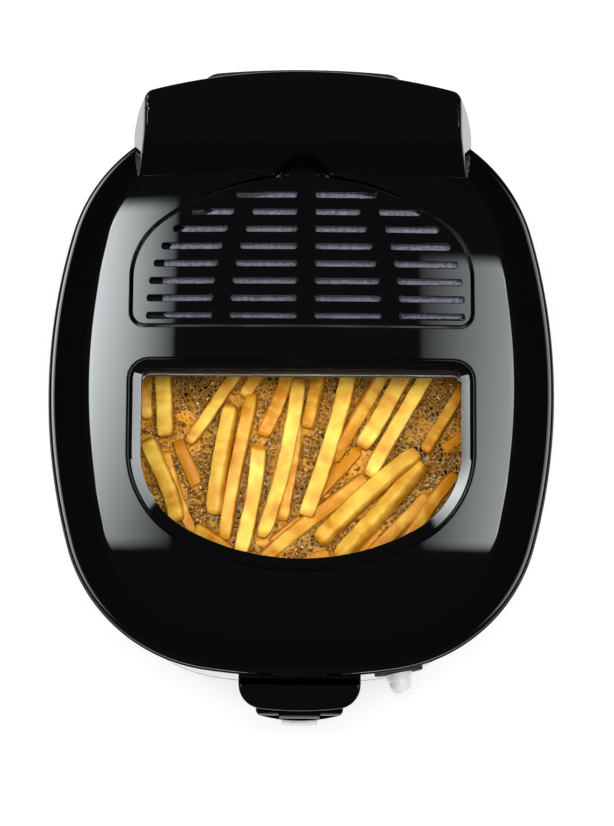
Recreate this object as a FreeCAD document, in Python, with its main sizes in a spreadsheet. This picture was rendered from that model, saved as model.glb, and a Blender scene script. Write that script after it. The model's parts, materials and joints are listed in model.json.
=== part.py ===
import FreeCAD, Part
import math
import os
from types import SimpleNamespace

import Sketcher
from FreeCAD import Placement, Rotation, Vector

# Domestic deep fryer with a hinged lid, a viewing window, a felt filter, a basket and a folding handle.
# Millimetres. +Z is up, the front faces -Y, and the origin is on the table under the middle of the lid.

DRIVING_SIZES = (
    # the oval that the lid, collar, jacket, pot and basket all share
    ("lid_half_width", 139.0, "half width of the lid at its rim"),
    ("lid_half_depth", 158.0, "half depth of the lid at its rim"),
    ("side_radius", 330.0, "radius of the lid's long sides, in plan"),
    ("end_radius", 360.0, "radius of the lid's front and rear, in plan"),
    ("corner_radius", 92.0, "radius of the lid's corners, in plan"),
    # clearances
    ("running_gap", 0.08, "radial play of a pin or shaft in its hole"),
    ("fit_gap", 0.2, "play between pieces that are assembled and stay put"),
    ("seat_gap", 0.3, "play between a piece and the seat that it rests on"),
    ("swing_gap", 0.5, "play between pieces that move past each other"),
    # feet and base
    ("foot_height", 6.0, "height of a rubber foot below the base"),
    ("foot_radius", 12.0, "radius of a foot where it meets the base"),
    ("foot_taper", 1.5, "how much smaller a foot is at the table"),
    ("foot_across", 78.0, "feet from the middle, left and right"),
    ("foot_along", 98.0, "feet from the middle, front and rear"),
    ("stem_radius", 4.0, "radius of the stem that holds a foot in the base"),
    ("base_flange", 4.0, "thickness of the base plate"),
    ("base_plug", 12.0, "height of the base's wall inside the jacket"),
    ("base_wall", 3.0, "thickness of the base's wall"),
    ("post_radius", 6.5, "radius of the base's four posts"),
    ("post_height", 32.0, "height of the posts above the base plate"),
    ("post_across", 55.0, "posts from the middle, left and right"),
    ("post_along", 62.0, "posts from the middle, front and rear"),
    ("screw_radius", 2.0, "shank radius of every screw"),
    ("screw_head_radius", 4.0, "head radius of every screw"),
    ("screw_head_height", 2.5, "head height of every screw"),
    ("screw_grip", 4.0, "how far a screw reaches past what it holds"),
    # steel jacket
    ("jacket_height", 142.0, "height of the steel jacket"),
    ("jacket_wall", 1.0, "thickness of the steel jacket"),
    ("jacket_top_inset", 7.0, "jacket inside the lid's outline, at the top"),
    ("jacket_bottom_inset", 9.0, "jacket inside the lid's outline, at the bottom"),
    # collar
    ("collar_height", 20.0, "height of the collar above the jacket"),
    ("collar_inset", 5.0, "collar inside the lid's outline"),
    ("collar_wall", 12.0, "thickness of the collar's wall"),
    ("collar_ledge", 7.0, "width of the ledge that carries the pot"),
    ("ledge_thickness", 2.0, "thickness of that ledge"),
    ("collar_skirt", 8.0, "depth of the collar's skirt inside the jacket"),
    ("skirt_wall", 3.0, "thickness of that skirt"),
    ("notch_half_width", 29.0, "half width of the notch for the basket's arms"),
    # pot
    ("pot_depth", 92.0, "depth of the pot below its flange"),
    ("pot_wall", 1.5, "thickness of the pot's wall"),
    ("pot_flange", 2.0, "thickness of the pot's flange"),
    ("pot_draft", 8.0, "how much the pot narrows towards its floor, each side"),
    ("pot_floor_radius", 14.0, "outer radius between the pot's wall and floor"),
    # heater
    ("heater_radius", 4.0, "radius of the heating tube"),
    ("heater_inset", 74.0, "heating loop inside the lid's outline"),
    ("terminal_length", 22.0, "length of the heating tube's cold ends"),
    ("terminal_apart", 12.0, "cold ends from the middle"),
    ("shield_thickness", 1.2, "thickness of the heat shield"),
    ("shield_inset", 48.0, "heat shield inside the lid's outline"),
    ("shield_rim", 9.0, "height of the heat shield's upturned rim"),
    ("cutout_radius", 9.0, "radius of the thermal cutout"),
    ("cutout_height", 7.0, "height of the thermal cutout"),
    ("terminal_width", 44.0, "width of the terminal block"),
    ("terminal_depth", 18.0, "depth of the terminal block"),
    ("terminal_height", 14.0, "height of the terminal block"),
    ("terminal_place", 92.0, "terminal block behind the middle"),
    # thermostat, dial and knob
    ("dial_angle", 9.2, "dial round from the front, about the front wall's centre"),
    ("dial_level", 88.0, "height of the dial above the table"),
    ("dial_radius", 14.0, "radius of the dial plate"),
    ("dial_proud", 3.2, "dial plate proud of the jacket"),
    ("shaft_radius", 3.0, "radius of the thermostat's shaft"),
    ("shaft_reach", 8.0, "shaft beyond the dial plate"),
    ("thermostat_width", 24.0, "width of the thermostat"),
    ("thermostat_height", 26.0, "height of the thermostat"),
    ("thermostat_depth", 13.0, "depth of the thermostat"),
    ("thermostat_back", 3.5, "thermostat behind the jacket's inner face"),
    ("knob_radius", 7.6, "radius of the knob's round base"),
    ("knob_base", 4.5, "height of the knob's round base"),
    ("knob_height", 11.0, "height of the knob with its grip bar"),
    ("knob_bar", 4.6, "thickness of the knob's grip bar"),
    ("knob_round", 1.0, "rounding of the knob's edges"),
    ("pilot_radius", 3.6, "radius of the pilot light"),
    ("pilot_proud", 1.0, "pilot light proud of the jacket"),
    ("pilot_drop", 26.0, "pilot light below the dial"),
    ("pilot_depth", 9.0, "pilot light behind the jacket's face"),
    # carrying grips
    ("grip_level", 122.0, "height of the carrying grips' middle"),
    ("grip_half_length", 44.0, "half length of a carrying grip's cup"),
    ("grip_half_height", 13.0, "half height of a carrying grip's cup"),
    ("grip_depth", 13.0, "depth of a carrying grip's cup"),
    ("grip_wall", 2.0, "wall of a carrying grip's cup"),
    ("grip_flange", 3.5, "flange of a carrying grip beyond its cup"),
    ("grip_proud", 1.2, "carrying grip's flange proud of the jacket"),
    # rear housing and lid hinge
    ("housing_half_width", 58.0, "half width of the rear housing"),
    ("housing_reach", 182.4, "rear face of the rear housing, from the middle"),
    ("housing_arch", 520.0, "radius of the rear housing's rear face, in plan"),
    ("housing_corner", 12.0, "corner radius of the rear housing, in plan"),
    ("housing_bottom", 12.0, "underside of the rear housing above the table"),
    ("housing_top", 164.0, "top of the rear housing above the table"),
    ("housing_brow", 177.0, "top of the housing's raised rear edge above the table"),
    ("brow_wall", 2.2, "thickness of that raised edge"),
    ("hinge_reach", 171.0, "hinge axis behind the middle"),
    ("hinge_level", 176.0, "hinge axis above the table"),
    ("hinge_rod_radius", 2.5, "radius of the hinge rod"),
    ("knuckle_radius", 6.8, "outer radius of the hinge's knuckles"),
    ("knuckle_place", 33.0, "lid's knuckles from the middle"),
    ("knuckle_width", 14.0, "width of a lid knuckle"),
    ("ear_width", 8.0, "width of a housing ear"),
    ("screw_across", 44.0, "housing screws from the middle"),
    ("screw_low", 34.0, "lower housing screws above the table"),
    ("screw_high", 140.0, "upper housing screws above the table"),
    ("inlet_half_width", 14.0, "half width of the power inlet"),
    ("inlet_half_height", 10.0, "half height of the power inlet"),
    ("inlet_depth", 20.0, "depth of the power inlet"),
    ("inlet_wall", 2.0, "wall of the power inlet"),
    ("inlet_level", 62.0, "power inlet above the table"),
    ("inlet_flange", 2.0, "flange of the power inlet"),
    ("pin_half_width", 1.0, "half thickness of an inlet pin"),
    ("pin_half_height", 2.2, "half height of an inlet pin"),
    ("pin_length", 12.0, "free length of an inlet pin"),
    ("pin_apart", 7.0, "outer inlet pins from the middle"),
    ("pin_raise", 3.0, "middle inlet pin above the outer ones"),
    # lid
    ("lid_lift", 0.8, "lid rim above the collar"),
    ("lip_height", 7.0, "upright lip round the lid"),
    ("shoulder_inset", 40.0, "run of the lid's steep shoulder, were it not cut by the crown"),
    ("shoulder_rise", 36.0, "rise of that shoulder"),
    ("crown_rise", 31.5, "top of the crown above the lid's rim"),
    ("crown_radius", 1500.0, "radius of the crowned top"),
    ("lid_wall", 2.5, "thickness of the lid"),
    ("lip_bead", 1.6, "height of the bead at the foot of the lid's lip"),
    ("bead_proud", 0.8, "bead proud of the lip"),
    # hood over the hinge
    ("hood_half_width", 96.5, "half width of the hood at the lid's rim"),
    ("hood_draft", 7.0, "how much the hood narrows towards its top, each side"),
    ("hood_reach", 164.5, "rear face of the hood, from the middle"),
    ("hood_arch", 860.0, "radius of the hood's rear face, in plan"),
    ("hood_corner", 15.0, "radius of the hood's rear corners, in plan"),
    ("hood_front", 108.0, "where the hood starts to rise from the crown"),
    ("hood_rise", 50.5, "top of the hood above the lid's rim"),
    ("hood_slope", 56.0, "steepest slope of the hood's front, in degrees"),
    ("hood_foot_radius", 14.0, "concave radius at the foot of the hood's front"),
    ("hood_brow_radius", 14.0, "convex radius at the top of the hood's front"),
    ("hood_panel", 80.0, "half width of the panel set in between the hood's rear corners"),
    ("panel_depth", 1.3, "depth of that panel"),
    # filter
    ("cover_half_width", 94.0, "half width of the filter cover"),
    ("cover_front", 31.0, "straight front edge of the filter cover"),
    ("cover_rear", 112.0, "rear edge of the filter cover"),
    ("cover_corner", 7.0, "radius of the filter cover's front corners"),
    ("cover_shoulder", 40.0, "radius of the filter cover's rear shoulders"),
    ("cover_arch", 150.0, "radius of the filter cover's rear edge"),
    ("cover_wall", 2.5, "thickness of the filter cover"),
    ("cover_gap", 2.2, "groove round the filter cover"),
    ("cover_ledge", 2.6, "width of the ledge under the filter cover"),
    ("ledge_wall", 2.0, "thickness of that ledge"),
    ("ledge_start", 14.0, "ledge behind the cover's front edge"),
    ("cover_axis_back", 5.0, "cover's hinge behind its front edge"),
    ("cover_axis_depth", 1.7, "cover's hinge below the crown at the pins"),
    ("cover_pin_radius", 1.0, "radius of the cover's hinge pins"),
    ("cover_pin_reach", 3.6, "cover's hinge pins beyond its side"),
    ("pin_boss", 7.0, "size of the lid's boss round a cover pin"),
    ("slot_height", 3.7, "height of a vent slot"),
    ("slot_pitch", 9.55, "vent slots, row to row"),
    ("slot_first", 36.5, "front row of vent slots, from the middle"),
    ("slot_border", 6.0, "vent slots inside the cover's outline"),
    ("slot_inner_bar", 10.2, "bar in the middle of the vent slots"),
    ("slot_outer_bar", 10.2, "bars between the inner and outer vent slots"),
    ("slot_column", 46.0, "where the outer bars start, in the front row"),
    ("slot_lean", 0.16, "how far the outer bars lean in, each millimetre to the rear"),
    ("tab_half_width", 10.8, "half width of the cover's finger tab"),
    ("tab_reach", 5.5, "finger tab beyond the cover's rear edge"),
    ("recess_radius", 18.0, "radius of the finger recess"),
    ("recess_place", 105.0, "middle of the finger recess, from the middle"),
    ("recess_drop", 14.0, "floor of the finger recess below the crown"),
    ("recess_wall", 2.5, "wall of the finger recess"),
    ("tray_inset", 5.0, "filter tray inside the cover's outline"),
    ("tray_wall", 1.8, "thickness of the filter tray"),
    ("tray_height", 16.5, "height of the filter tray"),
    ("tray_slot", 5.0, "width of the tray's vent slots"),
    ("tray_slot_pitch", 15.0, "tray's vent slots, from one to the next"),
    ("carbon_height", 7.0, "thickness of the carbon filter"),
    ("mat_height", 6.0, "thickness of the felt mat"),
    ("mat_play", 7.0, "felt mat narrower than its tray, each side"),
    ("mat_shift", 4.0, "felt mat to the right of the middle"),
    # window
    ("pane_half_width", 88.5, "half width of the pane that shows"),
    ("pane_rear", 7.0, "straight rear edge of the pane that shows"),
    ("pane_front", -98.0, "front edge of the pane that shows"),
    ("pane_corner", 6.0, "radius of the pane's rear corners"),
    ("pane_shoulder", 50.0, "radius of the pane's front shoulders"),
    ("pane_arch", 130.0, "radius of the pane's front edge"),
    ("bezel_slope", 7.5, "width of the bezel's sloped wall"),
    ("bezel_slope_rear", 4.0, "width of the bezel's sloped wall at the rear"),
    ("bezel_edge", 1.3, "flat edge round the bezel"),
    ("bezel_proud", 0.4, "bezel proud of the crown"),
    ("pane_drop", 11.0, "pane below the crown"),
    ("bezel_lip", 2.0, "thickness of the bezel's lip over the pane"),
    ("pane_lap", 3.0, "pane under the bezel's lip"),
    ("pane_thickness", 4.0, "thickness of the pane"),
    ("seal_height", 2.0, "height of the pane's seal"),
    ("clamp_height", 3.0, "height of the pane's clamping frame"),
    # lid underside
    ("liner_inset", 8.0, "liner inside the lid's outline"),
    ("liner_thickness", 1.2, "thickness of the liner"),
    ("liner_rise", 4.2, "liner above the lid's rim"),
    ("gasket_outset", 1.5, "gasket inside the liner's edge"),
    ("gasket_width", 6.0, "width of the gasket"),
    ("boss_radius", 4.5, "radius of the lid's screw bosses"),
    ("boss_across", 106.0, "lid's screw bosses from the middle, left and right"),
    ("boss_along", 76.0, "lid's screw bosses from the middle, front and rear"),
    # basket
    ("basket_gap", 5.0, "basket inside the pot"),
    ("basket_floor_gap", 9.0, "basket above the pot's floor"),
    ("basket_wall", 1.2, "thickness of the basket's mesh"),
    ("basket_height", 74.0, "height of the basket's mesh"),
    ("rim_radius", 2.2, "radius of the basket's rim wire"),
    ("mesh_slot", 5.0, "width of an opening in the basket's mesh"),
    ("mesh_pitch", 9.0, "openings in the basket's mesh, from one to the next"),
    ("mesh_border", 9.0, "closed edge above and below the mesh's openings"),
    ("mesh_reach_across", 72.0, "openings from the middle, left and right"),
    ("mesh_reach_along", 81.0, "openings from the middle, front and rear"),
    ("arm_place", 19.0, "basket's arms from the middle"),
    ("arm_half_width", 4.5, "half width of an arm"),
    ("arm_thickness", 2.0, "thickness of an arm"),
    ("hook_half_width", 14.0, "half width of the hook at the basket's rear"),
    ("hook_lap", 4.0, "hook's lap over the pot's flange"),
    # folding handle
    ("nose_half_width", 33.5, "half width of the handle bracket"),
    ("nose_gap", 1.3, "handle bracket in front of the lid"),
    ("nose_reach", 17.0, "depth of the handle bracket"),
    ("nose_arch", 190.0, "radius of the bracket's front edge, in plan"),
    ("nose_corner", 13.0, "radius of the bracket's front corners, in plan"),
    ("nose_top", 3.2, "bracket's top above the lid's rim"),
    ("nose_plate", 6.0, "thickness of the bracket's top"),
    ("nose_drop", 27.0, "height of the bracket"),
    ("nose_taper", 6.0, "how much the bracket narrows towards its underside"),
    ("nose_wall", 3.6, "thickness of the bracket's rear wall"),
    ("fold_radius", 8.0, "radius of the handle's fork round its pin"),
    ("tongue_half_width", 11.0, "half width of the bracket's tongue"),
    ("handle_pin_radius", 2.4, "radius of the handle's pin"),
    ("handle_half_width", 24.2, "half width of the handle at its top"),
    ("handle_taper", 5.0, "how much the handle narrows towards its end, each side"),
    ("handle_thinning", 6.5, "how much thinner the handle is at its end"),
    ("handle_length", 106.0, "handle from its pin to its end"),
    ("handle_bow", 0.5, "handle's front face proud of its fork"),
    ("handle_arch", 130.0, "radius of the handle's front face, in plan"),
    ("handle_round", 3.5, "radius of the handle's edges, in plan"),
    ("fork_depth", 10.5, "fork's slot below the pin"),
    ("button_half_width", 9.8, "half width of the release button"),
    ("button_height", 12.0, "height of the release button"),
    ("button_drop", 16.0, "button's top below the handle's pin"),
    ("button_proud", 1.7, "button proud of the handle"),
    ("button_depth", 5.0, "button inside the handle"),
    ("button_travel", 2.0, "how far the button presses in"),
)


class Size:
    """A size's number, together with the sheet expression that gives it."""

    def __init__(self, number, text):
        self.number = float(number)
        self.text = text

    def __float__(self):
        return self.number

    def __neg__(self):
        return Size(-self.number, f"(-{self.text})")

    def __add__(self, other):
        return Size(self.number + float(other), f"({self.text} + {words_of(other)})")

    def __sub__(self, other):
        return Size(self.number - float(other), f"({self.text} - {words_of(other)})")

    def __mul__(self, other):
        return Size(self.number * float(other), f"({self.text} * {words_of(other)})")

    def __truediv__(self, other):
        return Size(self.number / float(other), f"({self.text} / {words_of(other)})")


def words_of(size):
    """The text of a size, or of a plain number, inside an expression."""
    return size.text if isinstance(size, Size) else repr(float(size))


def root(size):
    """The square root of a size."""
    return Size(math.sqrt(size.number), f"sqrt({size.text})")


def sine(angle):
    """The sine of an angle in degrees."""
    return Size(math.sin(math.radians(angle.number)), f"sin({angle.text} * 1 deg)")


def cosine(angle):
    """The cosine of an angle in degrees."""
    return Size(math.cos(math.radians(angle.number)), f"cos({angle.text} * 1 deg)")


doc = FreeCAD.newDocument("DeepFryer")
sheet = doc.addObject("Spreadsheet::Sheet", "Sizes")
s = SimpleNamespace()
for row, (alias, number, note) in enumerate(DRIVING_SIZES, start=1):
    sheet.set(f"A{row}", note)
    sheet.set(f"B{row}", str(number))
    sheet.setAlias(f"B{row}", alias)
    setattr(s, alias, Size(number, f"Sizes.{alias}"))
doc.recompute()

ZERO = Size(0, "0")
UP = Vector(0, 0, 1)
FACING_FRONT = Rotation(Vector(1, 0, 0), 90)
FACING_REAR = Rotation(Vector(1, 0, 0), -90)
FACING_RIGHT = Rotation(Vector(0, 1, 0), 90)
SIDE_PROFILE = Rotation(Vector(0, 1, 0), Vector(0, 0, 1), Vector(1, 0, 0), "XYZ")
LEFT_AND_RIGHT = (-1, 1)
FOUR_CORNERS = ((-1, -1), (1, -1), (-1, 1), (1, 1))
subparts = {}


# Helpers: binding, placing and combining objects


def bind(thing, **sizes):
    """Tie properties of an object to the sheet."""
    for prop, size in sizes.items():
        thing.setExpression(prop, words_of(size))


def put(thing, x=ZERO, y=ZERO, z=ZERO, turn=None):
    """Place an object, with its position tied to the sheet."""
    place = Vector(float(x), float(y), float(z))
    thing.Placement = Placement(place, turn if turn is not None else Rotation())
    for axis, size in zip("xyz", (x, y, z)):
        thing.setExpression(f"Placement.Base.{axis}", words_of(size))
    return thing


def box(x0, x1, y0, y1, z0, z1):
    """A block between two corners."""
    block = doc.addObject("Part::Box", "Block")
    bind(block, Length=x1 - x0, Width=y1 - y0, Height=z1 - z0)
    return put(block, x0, y0, z0)


def rod(radius, length, x=ZERO, y=ZERO, z=ZERO, turn=None):
    """A cylinder that starts at a point and runs up, or along a turned axis."""
    cylinder = doc.addObject("Part::Cylinder", "Rod")
    bind(cylinder, Radius=radius, Height=length)
    return put(cylinder, x, y, z, turn)


def cut(base, *tools):
    """The base with every tool taken away."""
    for tool in tools:
        result = doc.addObject("Part::Cut", "Cut")
        result.Base = base
        result.Tool = tool
        base = result
    return base


def fuse(*pieces):
    """Pieces joined into one."""
    result = doc.addObject("Part::MultiFuse", "Union")
    result.Shapes = list(pieces)
    return result


def common(first, second):
    """What two pieces share."""
    result = doc.addObject("Part::Common", "Shared")
    result.Base = first
    result.Tool = second
    return result


def prism(sketch, height):
    """A sketch carried straight along its own axis."""
    result = doc.addObject("Part::Extrusion", "Prism")
    result.Base = sketch
    result.DirMode = "Normal"
    result.Solid = True
    bind(result, LengthFwd=height)
    return result


def loft(*sketches):
    """Sketches joined by straight-sided walls."""
    result = doc.addObject("Part::Loft", "Loft")
    result.Sections = list(sketches)
    result.Solid = True
    result.Ruled = True
    return result


def sweep(path, section):
    """A closed section carried along a path sketch."""
    result = doc.addObject("Part::Sweep", "Sweep")
    result.Sections = [section]
    result.Spine = (path, [f"Edge{n + 1}" for n in range(len(path.Shape.Edges))])
    result.Solid = True
    result.Frenet = False
    return result


def round_edges(base, radius, picks):
    """The base with the edges that a test picks rounded off."""
    doc.recompute()
    result = doc.addObject("Part::Fillet", "Rounded")
    result.Base = base
    chosen = [n for n, edge in enumerate(base.Shape.Edges, start=1) if picks(edge)]
    result.Edges = [(n, float(radius), float(radius)) for n in chosen]
    return result


def keep(name, thing):
    """Name a finished sub-part."""
    thing.Label = name
    subparts[name] = thing
    return thing


# Helpers: sketches


def new_sketch(level, body=None, turn=None, x=ZERO, y=ZERO):
    """An empty sketch at a height, in a body on its own base plane or standing by itself."""
    if body is None:
        sketch = doc.addObject("Sketcher::SketchObject", "Sketch")
        return put(sketch, x, y, level, turn)
    sketch = body.newObject("Sketcher::SketchObject", "Sketch")
    plane = next(item for item in body.Origin.OriginFeatures if item.Role == "XY_Plane")
    sketch.AttachmentSupport = [(plane, "")]
    sketch.MapMode = "FlatFace"
    sketch.AttachmentOffset = Placement(Vector(0, 0, float(level)), Rotation())
    sketch.setExpression("AttachmentOffset.Base.z", words_of(level))
    return sketch


def dimension(sketch, kind, *items, size):
    """A sketch dimension tied to the sheet; a negative distance is measured the other way."""
    if float(size) < 0:
        items = items[2:] + items[:2]
        size = -size
    index = sketch.addConstraint(Sketcher.Constraint(kind, *items, float(size)))
    name = f"size{index}"
    sketch.renameConstraint(index, name)
    sketch.setExpression(f"Constraints.{name}", words_of(size))


def arc(centre, radius, start, end):
    """An arc between two angles, anticlockwise."""
    return Part.ArcOfCircle(Part.Circle(centre, UP, radius), start, end)


def angle_from(centre, point):
    """The direction from one point to another."""
    return math.atan2(point.y - centre.y, point.x - centre.x)


def fix(sketch, rules):
    """Add plain geometric rules to a sketch."""
    for rule in rules:
        sketch.addConstraint(Sketcher.Constraint(*rule))


def oval(level, inset, body=None):
    """The lid's outline, inset evenly: two side arcs, two end arcs and four corner arcs, all tangent."""
    half_width = s.lid_half_width - inset
    half_depth = s.lid_half_depth - inset
    side = s.side_radius - inset
    end = s.end_radius - inset
    corner = s.corner_radius - inset
    side_middle = Vector(float(half_width - side), 0)
    end_middle = Vector(0, float(half_depth - end))
    to_side = float(side - corner)
    to_end = float(end - corner)
    apart = (end_middle - side_middle).Length
    along = (to_side ** 2 - to_end ** 2 + apart ** 2) / (2 * apart)
    aside = math.sqrt(to_side ** 2 - along ** 2)
    line = (end_middle - side_middle) / apart
    corner_middle = side_middle + line * along + Vector(-line.y, line.x) * aside
    low = angle_from(side_middle, corner_middle)
    high = angle_from(end_middle, corner_middle)
    sketch = new_sketch(level, body)
    shapes = []
    for quarter in range(2):
        flip = 1 - 2 * quarter
        turn = math.pi * quarter
        other = Vector(-corner_middle.x * flip, corner_middle.y * flip)
        shapes.append(arc(side_middle * flip, float(side), turn - low, turn + low))
        shapes.append(arc(corner_middle * flip, float(corner), turn + low, turn + high))
        shapes.append(arc(end_middle * flip, float(end), turn + high, turn + math.pi - high))
        shapes.append(arc(other, float(corner), turn + math.pi - high, turn + math.pi - low))
    sketch.addGeometry(shapes, False)
    fix(sketch, [("Tangent", n, 2, (n + 1) % 8, 1) for n in range(8)])
    fix(sketch, [("Equal", 0, 4), ("Equal", 2, 6), ("Equal", 1, 3), ("Equal", 1, 5), ("Equal", 1, 7)])
    fix(sketch, [("PointOnObject", n, 3, -1) for n in (0, 4)])
    fix(sketch, [("PointOnObject", n, 3, -2) for n in (2, 6)])
    dimension(sketch, "Radius", 0, size=side)
    dimension(sketch, "Radius", 2, size=end)
    dimension(sketch, "Radius", 1, size=corner)
    dimension(sketch, "DistanceX", -1, 1, 0, 3, size=half_width - side)
    dimension(sketch, "DistanceX", -1, 1, 4, 3, size=side - half_width)
    dimension(sketch, "DistanceY", -1, 1, 2, 3, size=half_depth - end)
    dimension(sketch, "DistanceY", -1, 1, 6, 3, size=end - half_depth)
    return sketch


def arched(level, half_width, flat, tip, corner, shoulder, arch, body=None, x=ZERO):
    """A D-shape: a straight edge, small corners, straight sides, large shoulders and an arched tip."""
    facing = 1 if float(tip) > float(flat) else -1
    wide, straight, end = float(half_width), float(flat), float(tip)
    small, large, bow = float(corner), float(shoulder), float(arch)
    arch_middle = Vector(0, end - facing * bow)
    rise = math.sqrt((bow - large) ** 2 - (wide - large) ** 2)
    turn_in = arch_middle.y + facing * rise
    shoulder_middle = Vector(wide - large, turn_in)
    lean = math.atan2(rise, wide - large)
    low = straight + facing * small
    left = Vector(-shoulder_middle.x, shoulder_middle.y)
    half = math.pi / 2
    full = math.pi
    sketch = new_sketch(level, body, x=x)
    if facing > 0:
        shapes = [
            Part.LineSegment(Vector(small - wide, straight), Vector(wide - small, straight)),
            arc(Vector(wide - small, low), small, -half, 0),
            Part.LineSegment(Vector(wide, low), Vector(wide, turn_in)),
            arc(shoulder_middle, large, 0, lean),
            arc(arch_middle, bow, lean, full - lean),
            arc(left, large, full - lean, full),
            Part.LineSegment(Vector(-wide, turn_in), Vector(-wide, low)),
            arc(Vector(small - wide, low), small, full, 3 * half),
        ]
    else:
        shapes = [
            Part.LineSegment(Vector(wide - small, straight), Vector(small - wide, straight)),
            arc(Vector(small - wide, low), small, half, full),
            Part.LineSegment(Vector(-wide, low), Vector(-wide, turn_in)),
            arc(left, large, full, full + lean),
            arc(arch_middle, bow, full + lean, 2 * full - lean),
            arc(shoulder_middle, large, -lean, 0),
            Part.LineSegment(Vector(wide, turn_in), Vector(wide, low)),
            arc(Vector(wide - small, low), small, 0, half),
        ]
    sketch.addGeometry(shapes, False)
    fix(sketch, [("Tangent", n, 2, (n + 1) % 8, 1) for n in range(8)])
    fix(sketch, [("Horizontal", 0), ("Vertical", 2), ("Vertical", 6), ("Equal", 1, 7), ("Equal", 3, 5)])
    fix(sketch, [("PointOnObject", 4, 3, -2)])
    dimension(sketch, "Radius", 1, size=corner)
    dimension(sketch, "Radius", 3, size=shoulder)
    dimension(sketch, "Radius", 4, size=arch)
    dimension(sketch, "DistanceY", -1, 1, 0, 1, size=flat)
    dimension(sketch, "DistanceY", -1, 1, 4, 3, size=tip - arch * facing)
    dimension(sketch, "DistanceX", -1, 1, 2, 1, size=half_width * facing)
    dimension(sketch, "DistanceX", -1, 1, 6, 1, size=half_width * -facing)
    return sketch


def ring(level, height, outer_inset, inner_inset):
    """An upright band that follows the lid's outline."""
    hole = prism(oval(level, inner_inset), height)
    return cut(prism(oval(level, outer_inset), height), hole)


def circle_sketch(radius, x, y, z, turn):
    """A circle, standing where a sweep starts."""
    sketch = new_sketch(z, turn=turn, x=x, y=y)
    sketch.addGeometry(Part.Circle(Vector(), UP, float(radius)), False)
    fix(sketch, [("Coincident", 0, 3, -1, 1)])
    dimension(sketch, "Radius", 0, size=radius)
    return sketch


# Levels above the table, from the feet up
plate_top = s.foot_height + s.base_flange
jacket_top = plate_top + s.jacket_height
collar_top = jacket_top + s.collar_height
pot_seat = jacket_top + s.ledge_thickness
pot_rim = pot_seat + s.pot_flange
pot_floor = pot_rim - s.pot_depth
shield_level = plate_top + s.post_height
lid_rim = collar_top + s.lid_lift
crown_top = lid_rim + s.crown_rise
liner_level = lid_rim + s.liner_rise
liner_top = liner_level + s.liner_thickness
hood_top = lid_rim + s.hood_rise

# Insets from the lid's outline
pot_inset = s.collar_inset + s.collar_wall + s.collar_ledge + s.fit_gap
pot_floor_inset = pot_inset + s.pot_draft
basket_inset = pot_inset + s.pot_wall + s.basket_gap


# Base: plate, feet and screws


def make_base_plate():
    """A plate with a wall inside the jacket, four posts, and holes for the feet and the screws."""
    body = doc.addObject("PartDesign::Body", "Body")
    plug_inset = s.jacket_bottom_inset + s.jacket_wall + s.fit_gap

    def pad(sketch, length):
        feature = body.newObject("PartDesign::Pad", "Pad")
        feature.Profile = sketch
        bind(feature, Length=length)

    def circles(level, radius, across, along):
        sketch = new_sketch(level, body)
        for n, (side, end) in enumerate(FOUR_CORNERS):
            place = Vector(side * float(across), end * float(along))
            sketch.addGeometry(Part.Circle(place, UP, float(radius)), False)
            dimension(sketch, "Radius", n, size=radius)
            dimension(sketch, "DistanceX", -1, 1, n, 3, size=across * side)
            dimension(sketch, "DistanceY", -1, 1, n, 3, size=along * end)
        return sketch

    def pocket(sketch, length, upwards):
        feature = body.newObject("PartDesign::Pocket", "Pocket")
        feature.Profile = sketch
        feature.Reversed = upwards
        bind(feature, Length=length)

    pad(oval(s.foot_height, s.jacket_bottom_inset, body), s.base_flange)
    pad(oval(plate_top, plug_inset, body), s.base_plug)
    pocket(oval(plate_top, plug_inset + s.base_wall, body), s.base_plug, True)
    pad(circles(plate_top, s.post_radius, s.post_across, s.post_along), s.post_height)
    screw_hole = s.screw_radius + s.fit_gap
    bore = s.base_flange + s.post_height
    pocket(circles(s.foot_height, screw_hole, s.post_across, s.post_along), bore, True)
    head_hole = s.screw_head_radius + s.fit_gap
    sink = s.screw_head_height + s.seat_gap
    pocket(circles(s.foot_height, head_hole, s.post_across, s.post_along), sink, True)
    stem_hole = s.stem_radius + s.fit_gap
    pocket(circles(s.foot_height, stem_hole, s.foot_across, s.foot_along), s.base_flange, True)
    return body


def make_feet():
    """Four tapered rubber feet with stems."""
    pieces = []
    for side, end in FOUR_CORNERS:
        x = s.foot_across * side
        y = s.foot_along * end
        pad = doc.addObject("Part::Cone", "FootPad")
        bind(pad, Radius1=s.foot_radius - s.foot_taper, Radius2=s.foot_radius, Height=s.foot_height)
        put(pad, x, y, ZERO)
        pieces.append(fuse(pad, rod(s.stem_radius, s.base_flange, x, y, s.foot_height)))
    return fuse(*pieces)


def make_base_screws():
    """Four screws from below, through the posts and the heat shield."""
    pieces = []
    start = s.foot_height + s.seat_gap
    reach = s.base_flange + s.post_height + s.shield_thickness + s.screw_grip
    for side, end in FOUR_CORNERS:
        x = s.post_across * side
        y = s.post_along * end
        head = rod(s.screw_head_radius, s.screw_head_height, x, y, start)
        pieces.append(fuse(head, rod(s.screw_radius, reach, x, y, start)))
    return fuse(*pieces)


keep("base_plate", make_base_plate())
keep("feet", make_feet())
keep("base_screws", make_base_screws())


# Steel jacket, with the openings for the dial, the grips and the housing's screws


def jacket_form(outset):
    """The jacket's drafted outer form, swelled evenly."""
    lower = oval(plate_top, s.jacket_bottom_inset - outset)
    return loft(lower, oval(jacket_top, s.jacket_top_inset - outset))


# The front wall is part of a cone about this upright axis, and the dial faces out from it
wall_centre = s.end_radius - s.lid_half_depth
dial_share = (s.dial_level - plate_top) / s.jacket_height
dial_inset = s.jacket_bottom_inset - (s.jacket_bottom_inset - s.jacket_top_inset) * dial_share
wall_radius = s.end_radius - dial_inset
dial_turn = Rotation(UP, float(s.dial_angle)) * FACING_FRONT


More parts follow.
